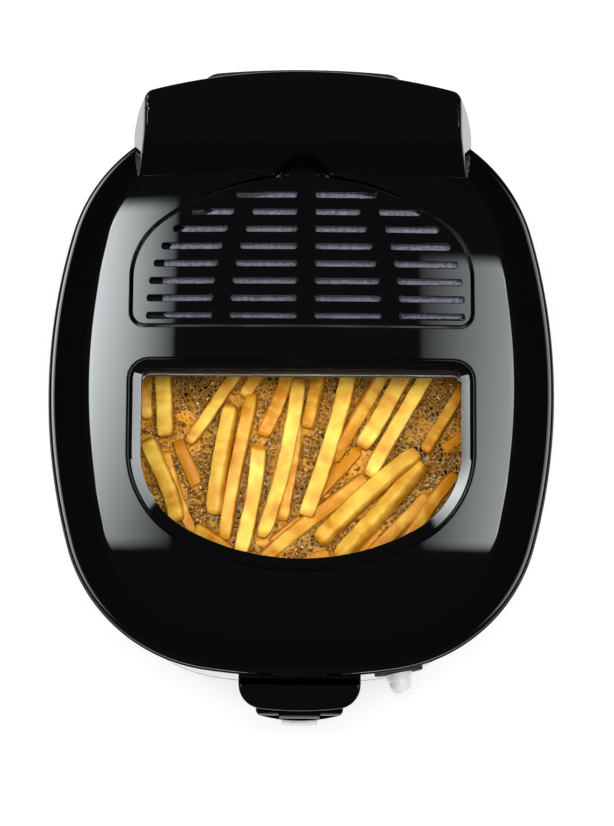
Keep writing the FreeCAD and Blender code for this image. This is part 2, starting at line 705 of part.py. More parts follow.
def at_dial(outwards, drop=ZERO):
    """A point on the dial's axis, some way out from the jacket's face, or below it."""
    reach = wall_radius + outwards
    return sine(s.dial_angle) * reach, wall_centre - cosine(s.dial_angle) * reach, s.dial_level - drop


def dial_rod(radius, start, length, drop=ZERO):
    """A cylinder along the dial's axis, from a distance out from the jacket's face."""
    x, y, z = at_dial(start, drop)
    return rod(radius, length, x, y, z, dial_turn)


def grip_cup_box(side, margin, inner, outer):
    """A block through the jacket's side where a carrying grip sits."""
    edges = sorted((inner * side, outer * side), key=float)
    half_length = s.grip_half_length + margin
    low = s.grip_level - s.grip_half_height - margin
    high = s.grip_level + s.grip_half_height + margin
    return box(edges[0], edges[1], -half_length, half_length, low, high)


def housing_screw_rods(radius, start, length):
    """Four cylinders towards the front, where the housing's screws go."""
    pieces = []
    for side in LEFT_AND_RIGHT:
        for level in (s.screw_low, s.screw_high):
            pieces.append(rod(radius, length, s.screw_across * side, start, level, FACING_FRONT))
    return pieces


grip_inner = s.lid_half_width - s.jacket_top_inset - s.grip_depth
grip_outer = s.lid_half_width
screw_start = s.housing_reach - s.housing_corner
screw_tip = s.lid_half_depth - s.jacket_bottom_inset - s.screw_grip * 2
screw_reach = screw_start - screw_tip


def make_jacket():
    """A drafted steel tube with its openings."""
    tube = cut(jacket_form(ZERO), jacket_form(-s.jacket_wall))
    openings = [dial_rod(s.shaft_radius + s.fit_gap * 5, -s.thermostat_depth, s.thermostat_depth * 2)]
    openings.append(dial_rod(s.pilot_radius + s.fit_gap, -s.pilot_depth, s.pilot_depth * 2, s.pilot_drop))
    openings += [grip_cup_box(side, s.fit_gap, grip_inner, grip_outer) for side in LEFT_AND_RIGHT]
    openings += housing_screw_rods(s.screw_radius + s.fit_gap, screw_start, screw_reach)
    return cut(tube, *openings)


def make_grip(side):
    """A recessed carrying grip: a cup through the jacket, with a flange over its edge."""
    skin = cut(jacket_form(s.grip_proud), jacket_form(s.fit_gap))
    flange = common(grip_cup_box(side, s.grip_flange, grip_inner, grip_outer), skin)
    cup = common(grip_cup_box(side, ZERO, grip_inner, grip_outer), jacket_form(s.grip_proud))
    hollow = grip_cup_box(side, -s.grip_wall, grip_inner + s.grip_wall, grip_outer)
    return cut(fuse(flange, cup), hollow)


keep("outer_jacket", make_jacket())
keep("grip_left", make_grip(-1))
keep("grip_right", make_grip(1))


# Collar, pot, heater and shield


def make_collar():
    """A ring that caps the jacket, carries the pot on a ledge, and has a notch for the basket's arms."""
    wall = ring(jacket_top, s.collar_height, s.collar_inset, s.collar_inset + s.collar_wall)
    inner = s.collar_inset + s.collar_wall + s.collar_ledge
    ledge = ring(jacket_top, s.ledge_thickness, s.collar_inset, inner)
    # The skirt stays clear of the jacket's drafted wall
    skirt_inset = s.jacket_top_inset + s.jacket_wall + s.fit_gap * 2
    skirt = ring(jacket_top - s.collar_skirt, s.collar_skirt, skirt_inset, skirt_inset + s.skirt_wall)
    notch = box(-s.notch_half_width, s.notch_half_width, -s.lid_half_depth, -s.lid_half_depth / 2,
                pot_seat, collar_top)
    hook_room = common(prism(oval(jacket_top, s.collar_inset), s.collar_height), notch)
    return cut(fuse(wall, ledge, skirt), hook_room)


def make_pot():
    """A drafted pot with a rounded floor and a flange that hangs on the collar."""

    def tub(inset, level, radius):
        form = loft(oval(level, pot_floor_inset + inset), oval(pot_rim, pot_inset + inset))
        return round_edges(form, radius, lambda edge: edge.BoundBox.ZMax < float(level) + 0.01)

    outer = tub(ZERO, pot_floor, s.pot_floor_radius)
    inner = tub(s.pot_wall, pot_floor + s.pot_wall, s.pot_floor_radius - s.pot_wall)
    flange_inset = s.collar_inset + s.collar_wall + s.fit_gap
    flange = prism(oval(pot_seat, flange_inset), s.pot_flange)
    return cut(fuse(outer, flange), inner)


def make_heating_ring():
    """A heating tube in a closed loop under the pot's floor, with two cold ends to the rear."""
    level = pot_floor - s.heater_radius - s.seat_gap
    path = oval(level, s.heater_inset)
    doc.recompute()
    start = s.lid_half_width - s.heater_inset
    loop = sweep(path, circle_sketch(s.heater_radius, start, ZERO, level, FACING_FRONT))
    rear = s.lid_half_depth - s.heater_inset
    ends = [rod(s.heater_radius, s.terminal_length, s.terminal_apart * side, rear, level, FACING_REAR)
            for side in LEFT_AND_RIGHT]
    return fuse(loop, *ends)


def make_heat_shield():
    """A shallow dish on the base's posts."""
    rim = ring(shield_level, s.shield_rim, s.shield_inset, s.shield_inset + s.shield_thickness)
    floor = prism(oval(shield_level, s.shield_inset), s.shield_thickness)
    holes = [rod(s.screw_radius + s.fit_gap, s.shield_thickness, s.post_across * side, s.post_along * end,
                 shield_level) for side, end in FOUR_CORNERS]
    return cut(fuse(rim, floor), *holes)


def make_terminal_block():
    """A block on the base plate where the inner wires are joined, with a row of entry holes."""
    half = s.terminal_width / 2
    top = plate_top + s.terminal_height
    block = box(-half, half, s.terminal_place, s.terminal_place + s.terminal_depth, plate_top, top)
    step = s.terminal_width / 4
    holes = [rod(s.screw_radius, s.terminal_height, step * n, s.terminal_place + s.terminal_depth / 2,
                 plate_top + s.terminal_height / 2) for n in (-1, 0, 1)]
    return cut(block, *holes)


keep("top_collar", make_collar())
keep("oil_pot", make_pot())
keep("heating_ring", make_heating_ring())
keep("heat_shield", make_heat_shield())
keep("thermal_cutout", rod(s.cutout_radius, s.cutout_height, z=pot_floor - s.seat_gap - s.cutout_height))
keep("terminal_block", make_terminal_block())


# Thermostat, dial plate, pilot light and knob


def make_thermostat():
    """A regulator behind the jacket, with a shaft out to the knob."""
    inner = -(s.jacket_wall + s.thermostat_back)
    block = doc.addObject("Part::Box", "Regulator")
    bind(block, Length=s.thermostat_width, Width=s.thermostat_height, Height=s.thermostat_depth)
    reach = wall_radius + inner - s.thermostat_depth
    half_wide = s.thermostat_width / 2
    x = sine(s.dial_angle) * reach - cosine(s.dial_angle) * half_wide
    y = wall_centre - cosine(s.dial_angle) * reach - sine(s.dial_angle) * half_wide
    put(block, x, y, s.dial_level - s.thermostat_height / 2, dial_turn)
    shaft_length = s.dial_proud + s.shaft_reach - inner
    collar = dial_rod(s.shaft_radius + s.fit_gap * 3, inner, s.thermostat_back)
    return fuse(block, collar, dial_rod(s.shaft_radius, inner, shaft_length))


def make_dial_plate():
    """A round plate whose back follows the jacket."""
    plate = dial_rod(s.dial_radius, -s.dial_proud, s.dial_proud * 2)
    shaft_hole = dial_rod(s.shaft_radius + s.running_gap, -s.dial_proud, s.dial_proud * 3)
    return cut(plate, jacket_form(s.fit_gap / 2), shaft_hole)


def make_pilot_light():
    """A round lens through the jacket, with a domed face."""
    stem = dial_rod(s.pilot_radius, -s.pilot_depth, s.pilot_depth, s.pilot_drop)
    x, y, z = at_dial(ZERO, s.pilot_drop)
    lens = doc.addObject("Part::Cone", "Lens")
    bind(lens, Radius1=s.pilot_radius, Radius2=s.pilot_radius - s.pilot_proud, Height=s.pilot_proud)
    put(lens, x, y, z, dial_turn)
    flange = dial_rod(s.pilot_radius + s.pilot_proud, -s.pilot_depth, s.pilot_proud * 5, s.pilot_drop)
    return fuse(stem, lens, flange)


def make_knob():
    """A round base with a grip bar across it and a blind bore for the shaft."""
    body = doc.addObject("PartDesign::Body", "Body")
    base = new_sketch(ZERO, body)
    base.addGeometry(Part.Circle(Vector(), UP, float(s.knob_radius)), False)
    fix(base, [("Coincident", 0, 3, -1, 1)])
    dimension(base, "Radius", 0, size=s.knob_radius)
    disc = body.newObject("PartDesign::Pad", "Pad")
    disc.Profile = base
    bind(disc, Length=s.knob_base)
    bar = new_sketch(ZERO, body)
    wide = float(s.knob_bar) / 2
    long = float(s.knob_radius)
    corners = [Vector(-wide, -long), Vector(wide, -long), Vector(wide, long), Vector(-wide, long)]
    bar.addGeometry([Part.LineSegment(corners[n], corners[(n + 1) % 4]) for n in range(4)], False)
    fix(bar, [("Coincident", n, 2, (n + 1) % 4, 1) for n in range(4)])
    fix(bar, [("Horizontal", 0), ("Horizontal", 2), ("Vertical", 1), ("Vertical", 3)])
    dimension(bar, "DistanceX", -1, 1, 1, 1, size=s.knob_bar / 2)
    dimension(bar, "DistanceX", -1, 1, 3, 1, size=s.knob_bar / -2)
    dimension(bar, "DistanceY", -1, 1, 2, 1, size=s.knob_radius)
    dimension(bar, "DistanceY", -1, 1, 0, 1, size=-s.knob_radius)
    fin = body.newObject("PartDesign::Pad", "Pad")
    fin.Profile = bar
    bind(fin, Length=s.knob_height)
    doc.recompute()
    top = [f"Edge{n}" for n, edge in enumerate(fin.Shape.Edges, start=1)
           if edge.BoundBox.ZMin > float(s.knob_height) - 0.01]
    rounded = body.newObject("PartDesign::Fillet", "Fillet")
    rounded.Base = (fin, top)
    bind(rounded, Radius=s.knob_round)
    hole = new_sketch(ZERO, body)
    hole.addGeometry(Part.Circle(Vector(), UP, float(s.shaft_radius)), False)
    fix(hole, [("Coincident", 0, 3, -1, 1)])
    dimension(hole, "Radius", 0, size=s.shaft_radius + s.running_gap)
    bore = body.newObject("PartDesign::Pocket", "Pocket")
    bore.Profile = hole
    bore.Reversed = True
    bind(bore, Length=s.shaft_reach)
    x, y, z = at_dial(s.dial_proud + s.swing_gap)
    return put(body, x, y, z, dial_turn)


keep("thermostat", make_thermostat())
keep("dial_plate", make_dial_plate())
keep("pilot_light", make_pilot_light())
keep("knob", make_knob())


# Rear housing, its screws, the hinge rod and the power inlet


def hinge_stations():
    """Where the lid's knuckles and the housing's ears lie along the hinge: start and width of each."""
    knuckles, ears = [], []
    for side in LEFT_AND_RIGHT:
        middle = s.knuckle_place * side
        knuckles.append((middle - s.knuckle_width / 2, s.knuckle_width))
        ears.append((middle - s.knuckle_width / 2 - s.swing_gap - s.ear_width, s.ear_width))
        ears.append((middle + s.knuckle_width / 2 + s.swing_gap, s.ear_width))
    return knuckles, ears


def hinge_rod(radius, start, length):
    """A cylinder along the hinge axis."""
    return rod(radius, length, start, s.hinge_reach, s.hinge_level, FACING_RIGHT)


rod_half_length = s.knuckle_place + s.knuckle_width / 2 + s.swing_gap + s.ear_width


def inlet_box(margin, front, rear):
    """A block round the power inlet, with its faces at two distances behind the middle."""
    wide = s.inlet_half_width + margin
    tall = s.inlet_half_height + margin
    return box(-wide, wide, front, rear, s.inlet_level - tall, s.inlet_level + tall)


inlet_front = s.housing_reach - s.inlet_depth - s.inlet_flange


def housing_plan(level, reach):
    """The rear housing seen from above."""
    return arched(level, s.housing_half_width, s.lid_half_depth / 2, reach, s.fit_gap * 5, s.housing_corner,
                  s.housing_arch)


def make_housing():
    """A tower against the jacket, with an arched rear, hinge ears, and holes for screws and inlet."""
    tower = prism(housing_plan(s.housing_bottom, s.housing_reach), s.housing_top - s.housing_bottom)
    tower = cut(tower, jacket_form(s.fit_gap))
    tower = cut(tower, prism(oval(s.housing_bottom - s.foot_height, s.jacket_bottom_inset - s.fit_gap),
                             s.foot_height * 2))
    collar_room = prism(oval(jacket_top - s.fit_gap, s.collar_inset - s.fit_gap), s.collar_height * 2)
    tower = cut(tower, collar_room)
    brow_foot = s.housing_top - s.fit_gap
    brow = prism(housing_plan(brow_foot, s.housing_reach), s.housing_brow - brow_foot)
    hinge_room = prism(arched(brow_foot, s.lid_half_width, ZERO, s.housing_reach - s.brow_wall, s.fit_gap * 5,
                              s.housing_corner, s.housing_arch), s.housing_brow - brow_foot)
    ears = [cut(brow, hinge_room)]
    _, stations = hinge_stations()
    for start, width in stations:
        ears.append(hinge_rod(s.knuckle_radius, start, width))
        ears.append(box(start, start + width, s.hinge_reach - s.knuckle_radius,
                        s.hinge_reach + s.knuckle_radius, s.housing_top - s.fit_gap, s.hinge_level))
    holes = [hinge_rod(s.hinge_rod_radius + s.running_gap, -rod_half_length, rod_half_length * 2)]
    holes += housing_screw_rods(s.screw_radius + s.fit_gap, screw_start, screw_reach)
    holes += housing_screw_rods(s.screw_head_radius + s.fit_gap, s.housing_reach, s.housing_corner)
    holes.append(inlet_box(s.fit_gap, inlet_front - s.fit_gap, s.housing_reach + s.inlet_flange))
    return cut(fuse(tower, *ears), *holes)


def make_housing_screws():
    """Four screws through the housing into the jacket."""
    heads = housing_screw_rods(s.screw_head_radius, screw_start + s.screw_head_height + s.seat_gap,
                               s.screw_head_height)
    shanks = housing_screw_rods(s.screw_radius, screw_start + s.seat_gap, screw_reach)
    return fuse(*[fuse(head, shank) for head, shank in zip(heads, shanks)])


def make_inlet():
    """An open box with a back, set into the housing."""
    shell = inlet_box(ZERO, inlet_front, s.housing_reach - s.inlet_flange)
    hollow = inlet_box(-s.inlet_wall, inlet_front + s.inlet_wall, s.housing_reach)
    return cut(shell, hollow, *inlet_pin_boxes(s.fit_gap / 2))


def inlet_pin_boxes(margin):
    """Three flat pins through the inlet's back."""
    pieces = []
    wide = s.pin_half_width + margin
    tall = s.pin_half_height + margin
    for n in (-1, 0, 1):
        x = s.pin_apart * n
        z = s.inlet_level + s.pin_raise * (1 - 2 * abs(n)) / 2
        pieces.append(box(x - wide, x + wide, inlet_front - margin, inlet_front + s.inlet_wall + s.pin_length,
                          z - tall, z + tall))
    return pieces


keep("rear_housing", make_housing())
keep("housing_screws", make_housing_screws())
keep("hinge_rod", hinge_rod(s.hinge_rod_radius, -rod_half_length, rod_half_length * 2))
keep("power_inlet", make_inlet())
keep("inlet_pins", fuse(*inlet_pin_boxes(ZERO)))


# Lid: a lipped, steep-shouldered shell with a crowned top and a hood over the hinge


def crown(drop):
    """A ball whose top is the lid's crown, lowered evenly; its seam lies far to the side."""
    ball = doc.addObject("Part::Sphere", "Crown")
    bind(ball, Radius=s.crown_radius - drop)
    return put(ball, z=crown_top - s.crown_radius, turn=FACING_FRONT)


def crown_level(x, y):
    """The crown's height over a point of the plan."""
    return crown_top - s.crown_radius + root(s.crown_radius * s.crown_radius - x * x - y * y)


def dome(inset):
    """The lid without its hood, inset evenly from every side."""
    lip = prism(oval(lid_rim, inset), s.lip_height)
    shoulder_foot = lid_rim + s.lip_height
    shoulder = loft(oval(shoulder_foot, inset),
                    oval(shoulder_foot + s.shoulder_rise, inset + s.shoulder_inset))
    return common(fuse(lip, shoulder), crown(inset))


def hood_profile(inset):
    """The hood seen from the side: a concave foot, a slope, a convex brow and a level top."""
    slope = math.radians(float(s.hood_slope))
    foot_radius = float(s.hood_foot_radius + inset)
    brow_radius = float(s.hood_brow_radius - inset)
    foot_level = crown_level(s.hood_half_width, s.hood_front) - inset
    foot = Vector(float(s.hood_front), float(foot_level))
    top = float(hood_top - inset)
    rise = top - foot.y - (foot_radius + brow_radius) * (1 - math.cos(slope))
    run = rise / math.tan(slope)
    foot_middle = foot + Vector(0, foot_radius)
    bend = foot_middle + Vector(math.sin(slope), -math.cos(slope)) * foot_radius
    ease = bend + Vector(run, rise)
    brow_middle = ease + Vector(math.sin(slope), -math.cos(slope)) * brow_radius
    brow = Vector(brow_middle.x, top)
    rear = float(s.hood_reach + s.hood_corner)
    low = float(lid_rim)
    half = math.pi / 2
    sketch = new_sketch(ZERO, turn=SIDE_PROFILE, x=-s.hood_half_width)
    sketch.addGeometry([
        arc(foot_middle, foot_radius, -half, slope - half),
        Part.LineSegment(bend, ease),
        arc(brow_middle, brow_radius, half, half + slope),
        Part.LineSegment(brow, Vector(rear, top)),
        Part.LineSegment(Vector(rear, top), Vector(rear, low)),
        Part.LineSegment(Vector(rear, low), Vector(foot.x, low)),
        Part.LineSegment(Vector(foot.x, low), foot),
    ], False)
    fix(sketch, [("Tangent", 0, 2, 1, 1), ("Tangent", 1, 2, 2, 2), ("Tangent", 2, 1, 3, 1)])
    fix(sketch, [("Coincident", n, 2, n + 1, 1) for n in (3, 4, 5)])
    fix(sketch, [("Coincident", 6, 2, 0, 1), ("Vertical", 0, 1, 0, 3)])
    fix(sketch, [("Horizontal", 3), ("Vertical", 4), ("Horizontal", 5), ("Vertical", 6)])
    dimension(sketch, "Radius", 0, size=s.hood_foot_radius + inset)
    dimension(sketch, "Radius", 2, size=s.hood_brow_radius - inset)
    dimension(sketch, "DistanceX", -1, 1, 0, 1, size=s.hood_front)
    dimension(sketch, "DistanceY", -1, 1, 0, 1, size=foot_level)
    dimension(sketch, "DistanceY", -1, 1, 3, 1, size=hood_top - inset)
    dimension(sketch, "DistanceX", -1, 1, 4, 1, size=s.hood_reach + s.hood_corner)
    dimension(sketch, "DistanceY", -1, 1, 5, 1, size=lid_rim)
    lean = sketch.addConstraint(Sketcher.Constraint("Angle", 1, slope))
    sketch.renameConstraint(lean, "slope")
    sketch.setExpression("Constraints.slope", f"{s.hood_slope.text} * 1 deg")
    return sketch


def hood_plan(level, narrower, half_width, reach):
    """The hood seen from above, a little narrower towards its top."""
    return arched(level, half_width - narrower, s.hood_front / 2, reach, s.fit_gap * 5, s.hood_corner,
                  s.hood_arch)


def hood(inset):
    """The hood over the hinge, inset evenly."""
    side_form = prism(hood_profile(inset), s.hood_half_width * 2)
    width = s.hood_half_width - inset
    reach = s.hood_reach - inset
    plan_form = loft(hood_plan(lid_rim, ZERO, width, reach),
                     hood_plan(hood_top + s.hood_corner, s.hood_draft, width, reach))
    return common(side_form, plan_form)


def cover_plan(level, grow):
    """The filter cover's D-shape, grown evenly."""
    return arched(level, s.cover_half_width + grow, s.cover_front - grow, s.cover_rear + grow,
                  s.cover_corner + grow, s.cover_shoulder + grow, s.cover_arch + grow)


def pane_plan(level, grow, grow_rear):
    """The window's D-shape, grown evenly but for its straight rear edge."""
    return arched(level, s.pane_half_width + grow, s.pane_rear + grow_rear, s.pane_front - grow,
                  s.pane_corner + grow_rear, s.pane_shoulder + grow, s.pane_arch + grow)


bezel_grow = s.bezel_slope + s.bezel_edge
bezel_grow_rear = s.bezel_slope_rear + s.bezel_edge
above_lid = s.hood_rise
pane_top = crown_top - s.pane_drop

# The filter cover turns about pins at its front corners, just under the crown
cover_axis_y = s.cover_front + s.cover_axis_back
cover_axis_z = crown_level(s.cover_half_width, cover_axis_y) - s.cover_axis_depth


def cover_pin(side, radius, reach):
    """A cylinder along the cover's hinge axis, out from one side."""
    inner = s.cover_half_width - s.cover_pin_reach
    length = s.cover_pin_reach + reach
    start = inner if side > 0 else -inner - length
    return rod(radius, length, start, cover_axis_y, cover_axis_z, FACING_RIGHT)


def recess_rod(radius, drop, height):
    """An upright cylinder about the finger recess."""
    level = crown_top - drop
    return rod(radius, height, ZERO, s.recess_place, level)


def make_lid():
    """The lid's shell, with the seats of the filter cover, window, finger recess, liner and hinge."""
    outer = fuse(dome(ZERO), hood(ZERO))
    bosses = [recess_rod(s.recess_radius + s.recess_wall, s.recess_drop + s.recess_wall, above_lid)]
    for side, end in FOUR_CORNERS:
        boss = rod(s.boss_radius, s.crown_rise, s.boss_across * side, s.boss_along * end,
                   liner_top + s.fit_gap)
        bosses.append(boss)
    for side in LEFT_AND_RIGHT:
        edges = sorted((s.cover_half_width * side, (s.cover_half_width + s.pin_boss + s.cover_gap) * side),
                       key=float)
        half = s.pin_boss / 2
        bosses.append(box(edges[0], edges[1], cover_axis_y - half, cover_axis_y + half,
                          cover_axis_z - half, cover_axis_z + half))
    hollow = cut(fuse(dome(s.lid_wall), hood(s.lid_wall)), *bosses)
    shell = cut(outer, hollow)
    seat_ring = cut(prism(cover_plan(lid_rim, s.cover_gap + s.fit_gap), above_lid),
                    prism(cover_plan(lid_rim, -s.cover_ledge), above_lid))
    seat_drop = s.cover_wall + s.seat_gap
    seat = cut(common(seat_ring, crown(seat_drop)), crown(seat_drop + s.ledge_wall))
    seat = cut(seat, box(-s.lid_half_width, s.lid_half_width, ZERO, s.cover_front + s.ledge_start,
                         ZERO, crown_top))
    opening = prism(cover_plan(lid_rim, s.cover_gap), above_lid)
    window = prism(pane_plan(lid_rim, bezel_grow + s.fit_gap, bezel_grow_rear + s.fit_gap), above_lid)
    finger = recess_rod(s.recess_radius, s.recess_drop, above_lid)
    finger = cut(finger, box(-s.lid_half_width, s.lid_half_width, ZERO, s.cover_rear,
                             ZERO, crown_top + above_lid))
    screw_holes = [rod(s.screw_radius, s.screw_grip * 2, s.boss_across * side, s.boss_along * end, liner_top)
                   for side, end in FOUR_CORNERS]
    shell = cut(shell, opening, window, finger, *screw_holes)
    bead = ring(lid_rim, s.lip_bead, -s.bead_proud, s.lid_wall)
    bead = cut(bead, box(-s.hood_half_width - s.hood_corner, s.hood_half_width + s.hood_corner, s.hood_front,
                         s.lid_half_depth * 2, ZERO, crown_top))
    hinge = []
    knuckles, _ = hinge_stations()
    for start, width in knuckles:
        hinge.append(hinge_rod(s.knuckle_radius, start, width))
        hinge.append(box(start, start + width, s.hood_reach - s.lid_wall, s.hinge_reach,
                         s.hinge_level - s.lid_wall, s.hinge_level + s.knuckle_radius))
    panel = cut(prism(arched(lid_rim, s.hood_panel, s.hood_reach - s.hood_corner, s.hood_reach * 2,
                             s.fit_gap, s.hood_corner, s.hood_arch), above_lid),
                prism(arched(lid_rim, s.lid_half_width, ZERO, s.hood_reach - s.panel_depth,
                             s.fit_gap, s.hood_corner, s.hood_arch), above_lid))
    shell = fuse(cut(shell, panel), seat, bead, *hinge)
    holes = [hinge_rod(s.hinge_rod_radius, -rod_half_length, rod_half_length * 2)]
    holes += [cover_pin(side, s.cover_pin_radius + s.running_gap, s.cover_pin_reach + s.fit_gap)
              for side in LEFT_AND_RIGHT]
    return cut(shell, *holes)


keep("lid_shell", make_lid())


# Filter: slotted cover, felt mat, carbon filter and tray


def cover_edge(y):
    """Half width of the filter cover at a distance behind the middle."""
    shoulder = float(s.cover_shoulder)
    arch_radius = float(s.cover_arch)
    arch_middle = float(s.cover_rear) - arch_radius
    across = float(s.cover_half_width) - shoulder
    turn_in = arch_middle + math.sqrt((arch_radius - shoulder) ** 2 - across ** 2)
    if y <= turn_in:
        return float(s.cover_half_width)
    meet = arch_middle + (turn_in - arch_middle) * arch_radius / (arch_radius - shoulder)
    if y <= meet:
        return across + math.sqrt(shoulder ** 2 - (y - turn_in) ** 2)
    return math.sqrt(max(arch_radius ** 2 - (y - arch_middle) ** 2, 0.0))


def slot_solid(left, right, y):
    """One upright vent slot with round ends."""
    radius = float(s.slot_height) / 2
    start = Vector(left + radius, y)
    end = Vector(right - radius, y)
    up = Vector(0, radius)
    edges = [
        Part.LineSegment(start - up, end - up).toShape(),
        Part.Arc(end - up, end + Vector(radius, 0), end + up).toShape(),
        Part.LineSegment(end + up, start + up).toShape(),
        Part.Arc(start + up, start - Vector(radius, 0), start - up).toShape(),
    ]
    face = Part.Face(Part.Wire(edges))
    face.translate(Vector(0, 0, float(lid_rim)))
    return face.extrude(Vector(0, 0, float(above_lid)))


def slot_rows():
    """Every vent slot: rows to the rear until the cover ends, each cut into four by three bars."""
    slots = []
    y = float(s.slot_first)
    shortest = float(s.slot_height) * 2
    border = float(s.slot_border)
    while y + float(s.slot_height) / 2 + border < float(s.cover_rear):
        reach = cover_edge(y + float(s.slot_height) / 2) - border
        inner = float(s.slot_inner_bar) / 2
        bar = float(s.slot_column) - float(s.slot_lean) * (y - float(s.slot_first))
        if reach - bar < float(s.slot_outer_bar) + shortest:
            spans = [(inner, min(reach, bar))]
        else:
            spans = [(inner, bar), (bar + float(s.slot_outer_bar), reach)]
        for left, right in spans:
            slots.append(slot_solid(left, right, y))
            slots.append(slot_solid(-right, -left, y))
        y += float(s.slot_pitch)
    return slots


def make_cover():
    """A slotted cover that continues the crown, with a finger tab and two hinge pins."""
    plate = prism(cover_plan(lid_rim, ZERO), above_lid)
    tab_rear = s.cover_rear + s.tab_reach
    tab = box(-s.tab_half_width, s.tab_half_width, s.cover_rear - s.cover_ledge * 2, tab_rear,
              lid_rim, crown_top + above_lid)
    skin = cut(common(fuse(plate, tab), crown(ZERO)), crown(s.cover_wall))
    cutter = doc.addObject("Part::Feature", "Slots")
    cutter.Shape = Part.makeCompound(slot_rows())
    pins = [cover_pin(side, s.cover_pin_radius, s.cover_pin_reach) for side in LEFT_AND_RIGHT]
    return fuse(cut(skin, cutter), *pins)


def tray_plan(level, shrink, x=ZERO):
    """The filter tray's D-shape, shrunk evenly."""
    grow = -(s.tray_inset + shrink)
    return arched(level, s.cover_half_width + grow, s.cover_front - grow, s.cover_rear + grow,
                  s.cover_corner, s.cover_shoulder + grow, s.cover_arch + grow, x=x)


tray_level = liner_top + s.fit_gap
carbon_level = tray_level + s.tray_wall + s.fit_gap
mat_level = carbon_level + s.carbon_height + s.fit_gap


def make_tray():
    """A D-shaped tray on the liner, with vent slots in its floor."""
    outer = prism(tray_plan(tray_level, ZERO), s.tray_height)
    inner = prism(tray_plan(tray_level + s.tray_wall, s.tray_wall), s.tray_height)
    front = s.cover_front + s.tray_inset * 3
    rear = s.cover_rear - s.tray_inset * 6
    count = int((float(s.cover_half_width) - float(s.tray_inset) * 4) // float(s.tray_slot_pitch))
    slots = []
    for n in range(-count, count + 1):
        left = s.tray_slot_pitch * n - s.tray_slot / 2
        slots.append(box(left, left + s.tray_slot, front, rear, tray_level, tray_level + s.tray_wall))
    return cut(outer, inner, *slots)


keep("filter_cover", make_cover())
keep("filter_tray", make_tray())
keep("carbon_filter", prism(tray_plan(carbon_level, s.tray_wall + s.fit_gap), s.carbon_height))
mat_shrink = s.tray_wall + s.fit_gap + s.mat_play
keep("filter_mat", prism(tray_plan(mat_level, mat_shrink, s.mat_shift), s.mat_height))


# Window: bezel, pane, seal and clamping frame

pane_pocket = s.pane_lap + s.fit_gap


def pane_block(level, height, grow):
    """An upright block of the window's shape."""
    return prism(pane_plan(level, grow, grow), height)


def make_bezel():
    """A frame with sloped walls down to the pane, a lip over it and a pocket under it."""
    bottom = liner_top + s.fit_gap
    block = prism(pane_plan(bottom, bezel_grow, bezel_grow_rear), above_lid)
    body = common(block, crown(-s.bezel_proud))
    slope_top = crown_top + s.bezel_proud
    funnel = loft(pane_plan(pane_top, ZERO, ZERO), pane_plan(slope_top, s.bezel_slope, s.bezel_slope_rear))
    through = pane_block(bottom, above_lid, ZERO)
    lip_bottom = pane_top - s.bezel_lip
    pocket = pane_block(bottom, lip_bottom - bottom, pane_pocket)
    return cut(body, funnel, through, pocket)


pane_level = pane_top - s.bezel_lip - s.fit_gap - s.pane_thickness
seal_level = pane_level - s.fit_gap - s.seal_height
clamp_level = seal_level - s.fit_gap - s.clamp_height


def pane_frame(level, height):
    """A frame under the edge of the pane."""
    return cut(pane_block(level, height, s.pane_lap), pane_block(level, height, ZERO))


keep("window_bezel", make_bezel())
keep("window_glass", pane_block(pane_level, s.pane_thickness, s.pane_lap))
keep("window_seal", pane_frame(seal_level, s.seal_height))
keep("window_clamp", pane_frame(clamp_level, s.clamp_height))


# Lid underside: liner, gasket and screws


def make_liner():
    """A plate under the lid, open under the window and the filter, with screw holes."""
    plate = prism(oval(liner_level, s.liner_inset), s.liner_thickness)
    window = prism(pane_plan(liner_level, ZERO, ZERO), s.liner_thickness)
    vent = prism(tray_plan(liner_level, s.tray_inset), s.liner_thickness)
    holes = [rod(s.screw_radius + s.fit_gap, s.liner_thickness, s.boss_across * side, s.boss_along * end,
                 liner_level) for side, end in FOUR_CORNERS]
    return cut(plate, window, vent, *holes)


def make_liner_screws():
    """Four screws from below, through the liner into the lid's bosses."""
    pieces = []
    head_level = liner_level - s.fit_gap - s.screw_head_height
    reach = s.screw_head_height + s.liner_thickness + s.screw_grip
    for side, end in FOUR_CORNERS:
        x = s.boss_across * side
        y = s.boss_along * end
        head = rod(s.screw_head_radius, s.screw_head_height, x, y, head_level)
        shank = rod(s.screw_radius - s.fit_gap / 2, reach, x, y, head_level)
        pieces.append(fuse(head, shank))
    return fuse(*pieces)


gasket_inset = s.liner_inset + s.gasket_outset
gasket_level = collar_top + s.seat_gap
gasket_height = liner_level - s.fit_gap / 2 - gasket_level
keep("lid_liner", make_liner())
keep("lid_gasket", ring(gasket_level, gasket_height, gasket_inset, gasket_inset + s.gasket_width))
keep("liner_screws", make_liner_screws())


# Basket: mesh tub, rim wire and the arms that carry the handle

basket_floor = pot_floor + s.pot_wall + s.basket_floor_gap
basket_top = basket_floor + s.basket_height
basket_foot_inset = pot_floor_inset + s.pot_wall + s.basket_gap
arm_level = pot_rim + s.seat_gap
nose_rear = -(s.lid_half_depth + s.bead_proud + s.nose_gap)
arm_end = nose_rear - s.nose_wall + s.fit_gap


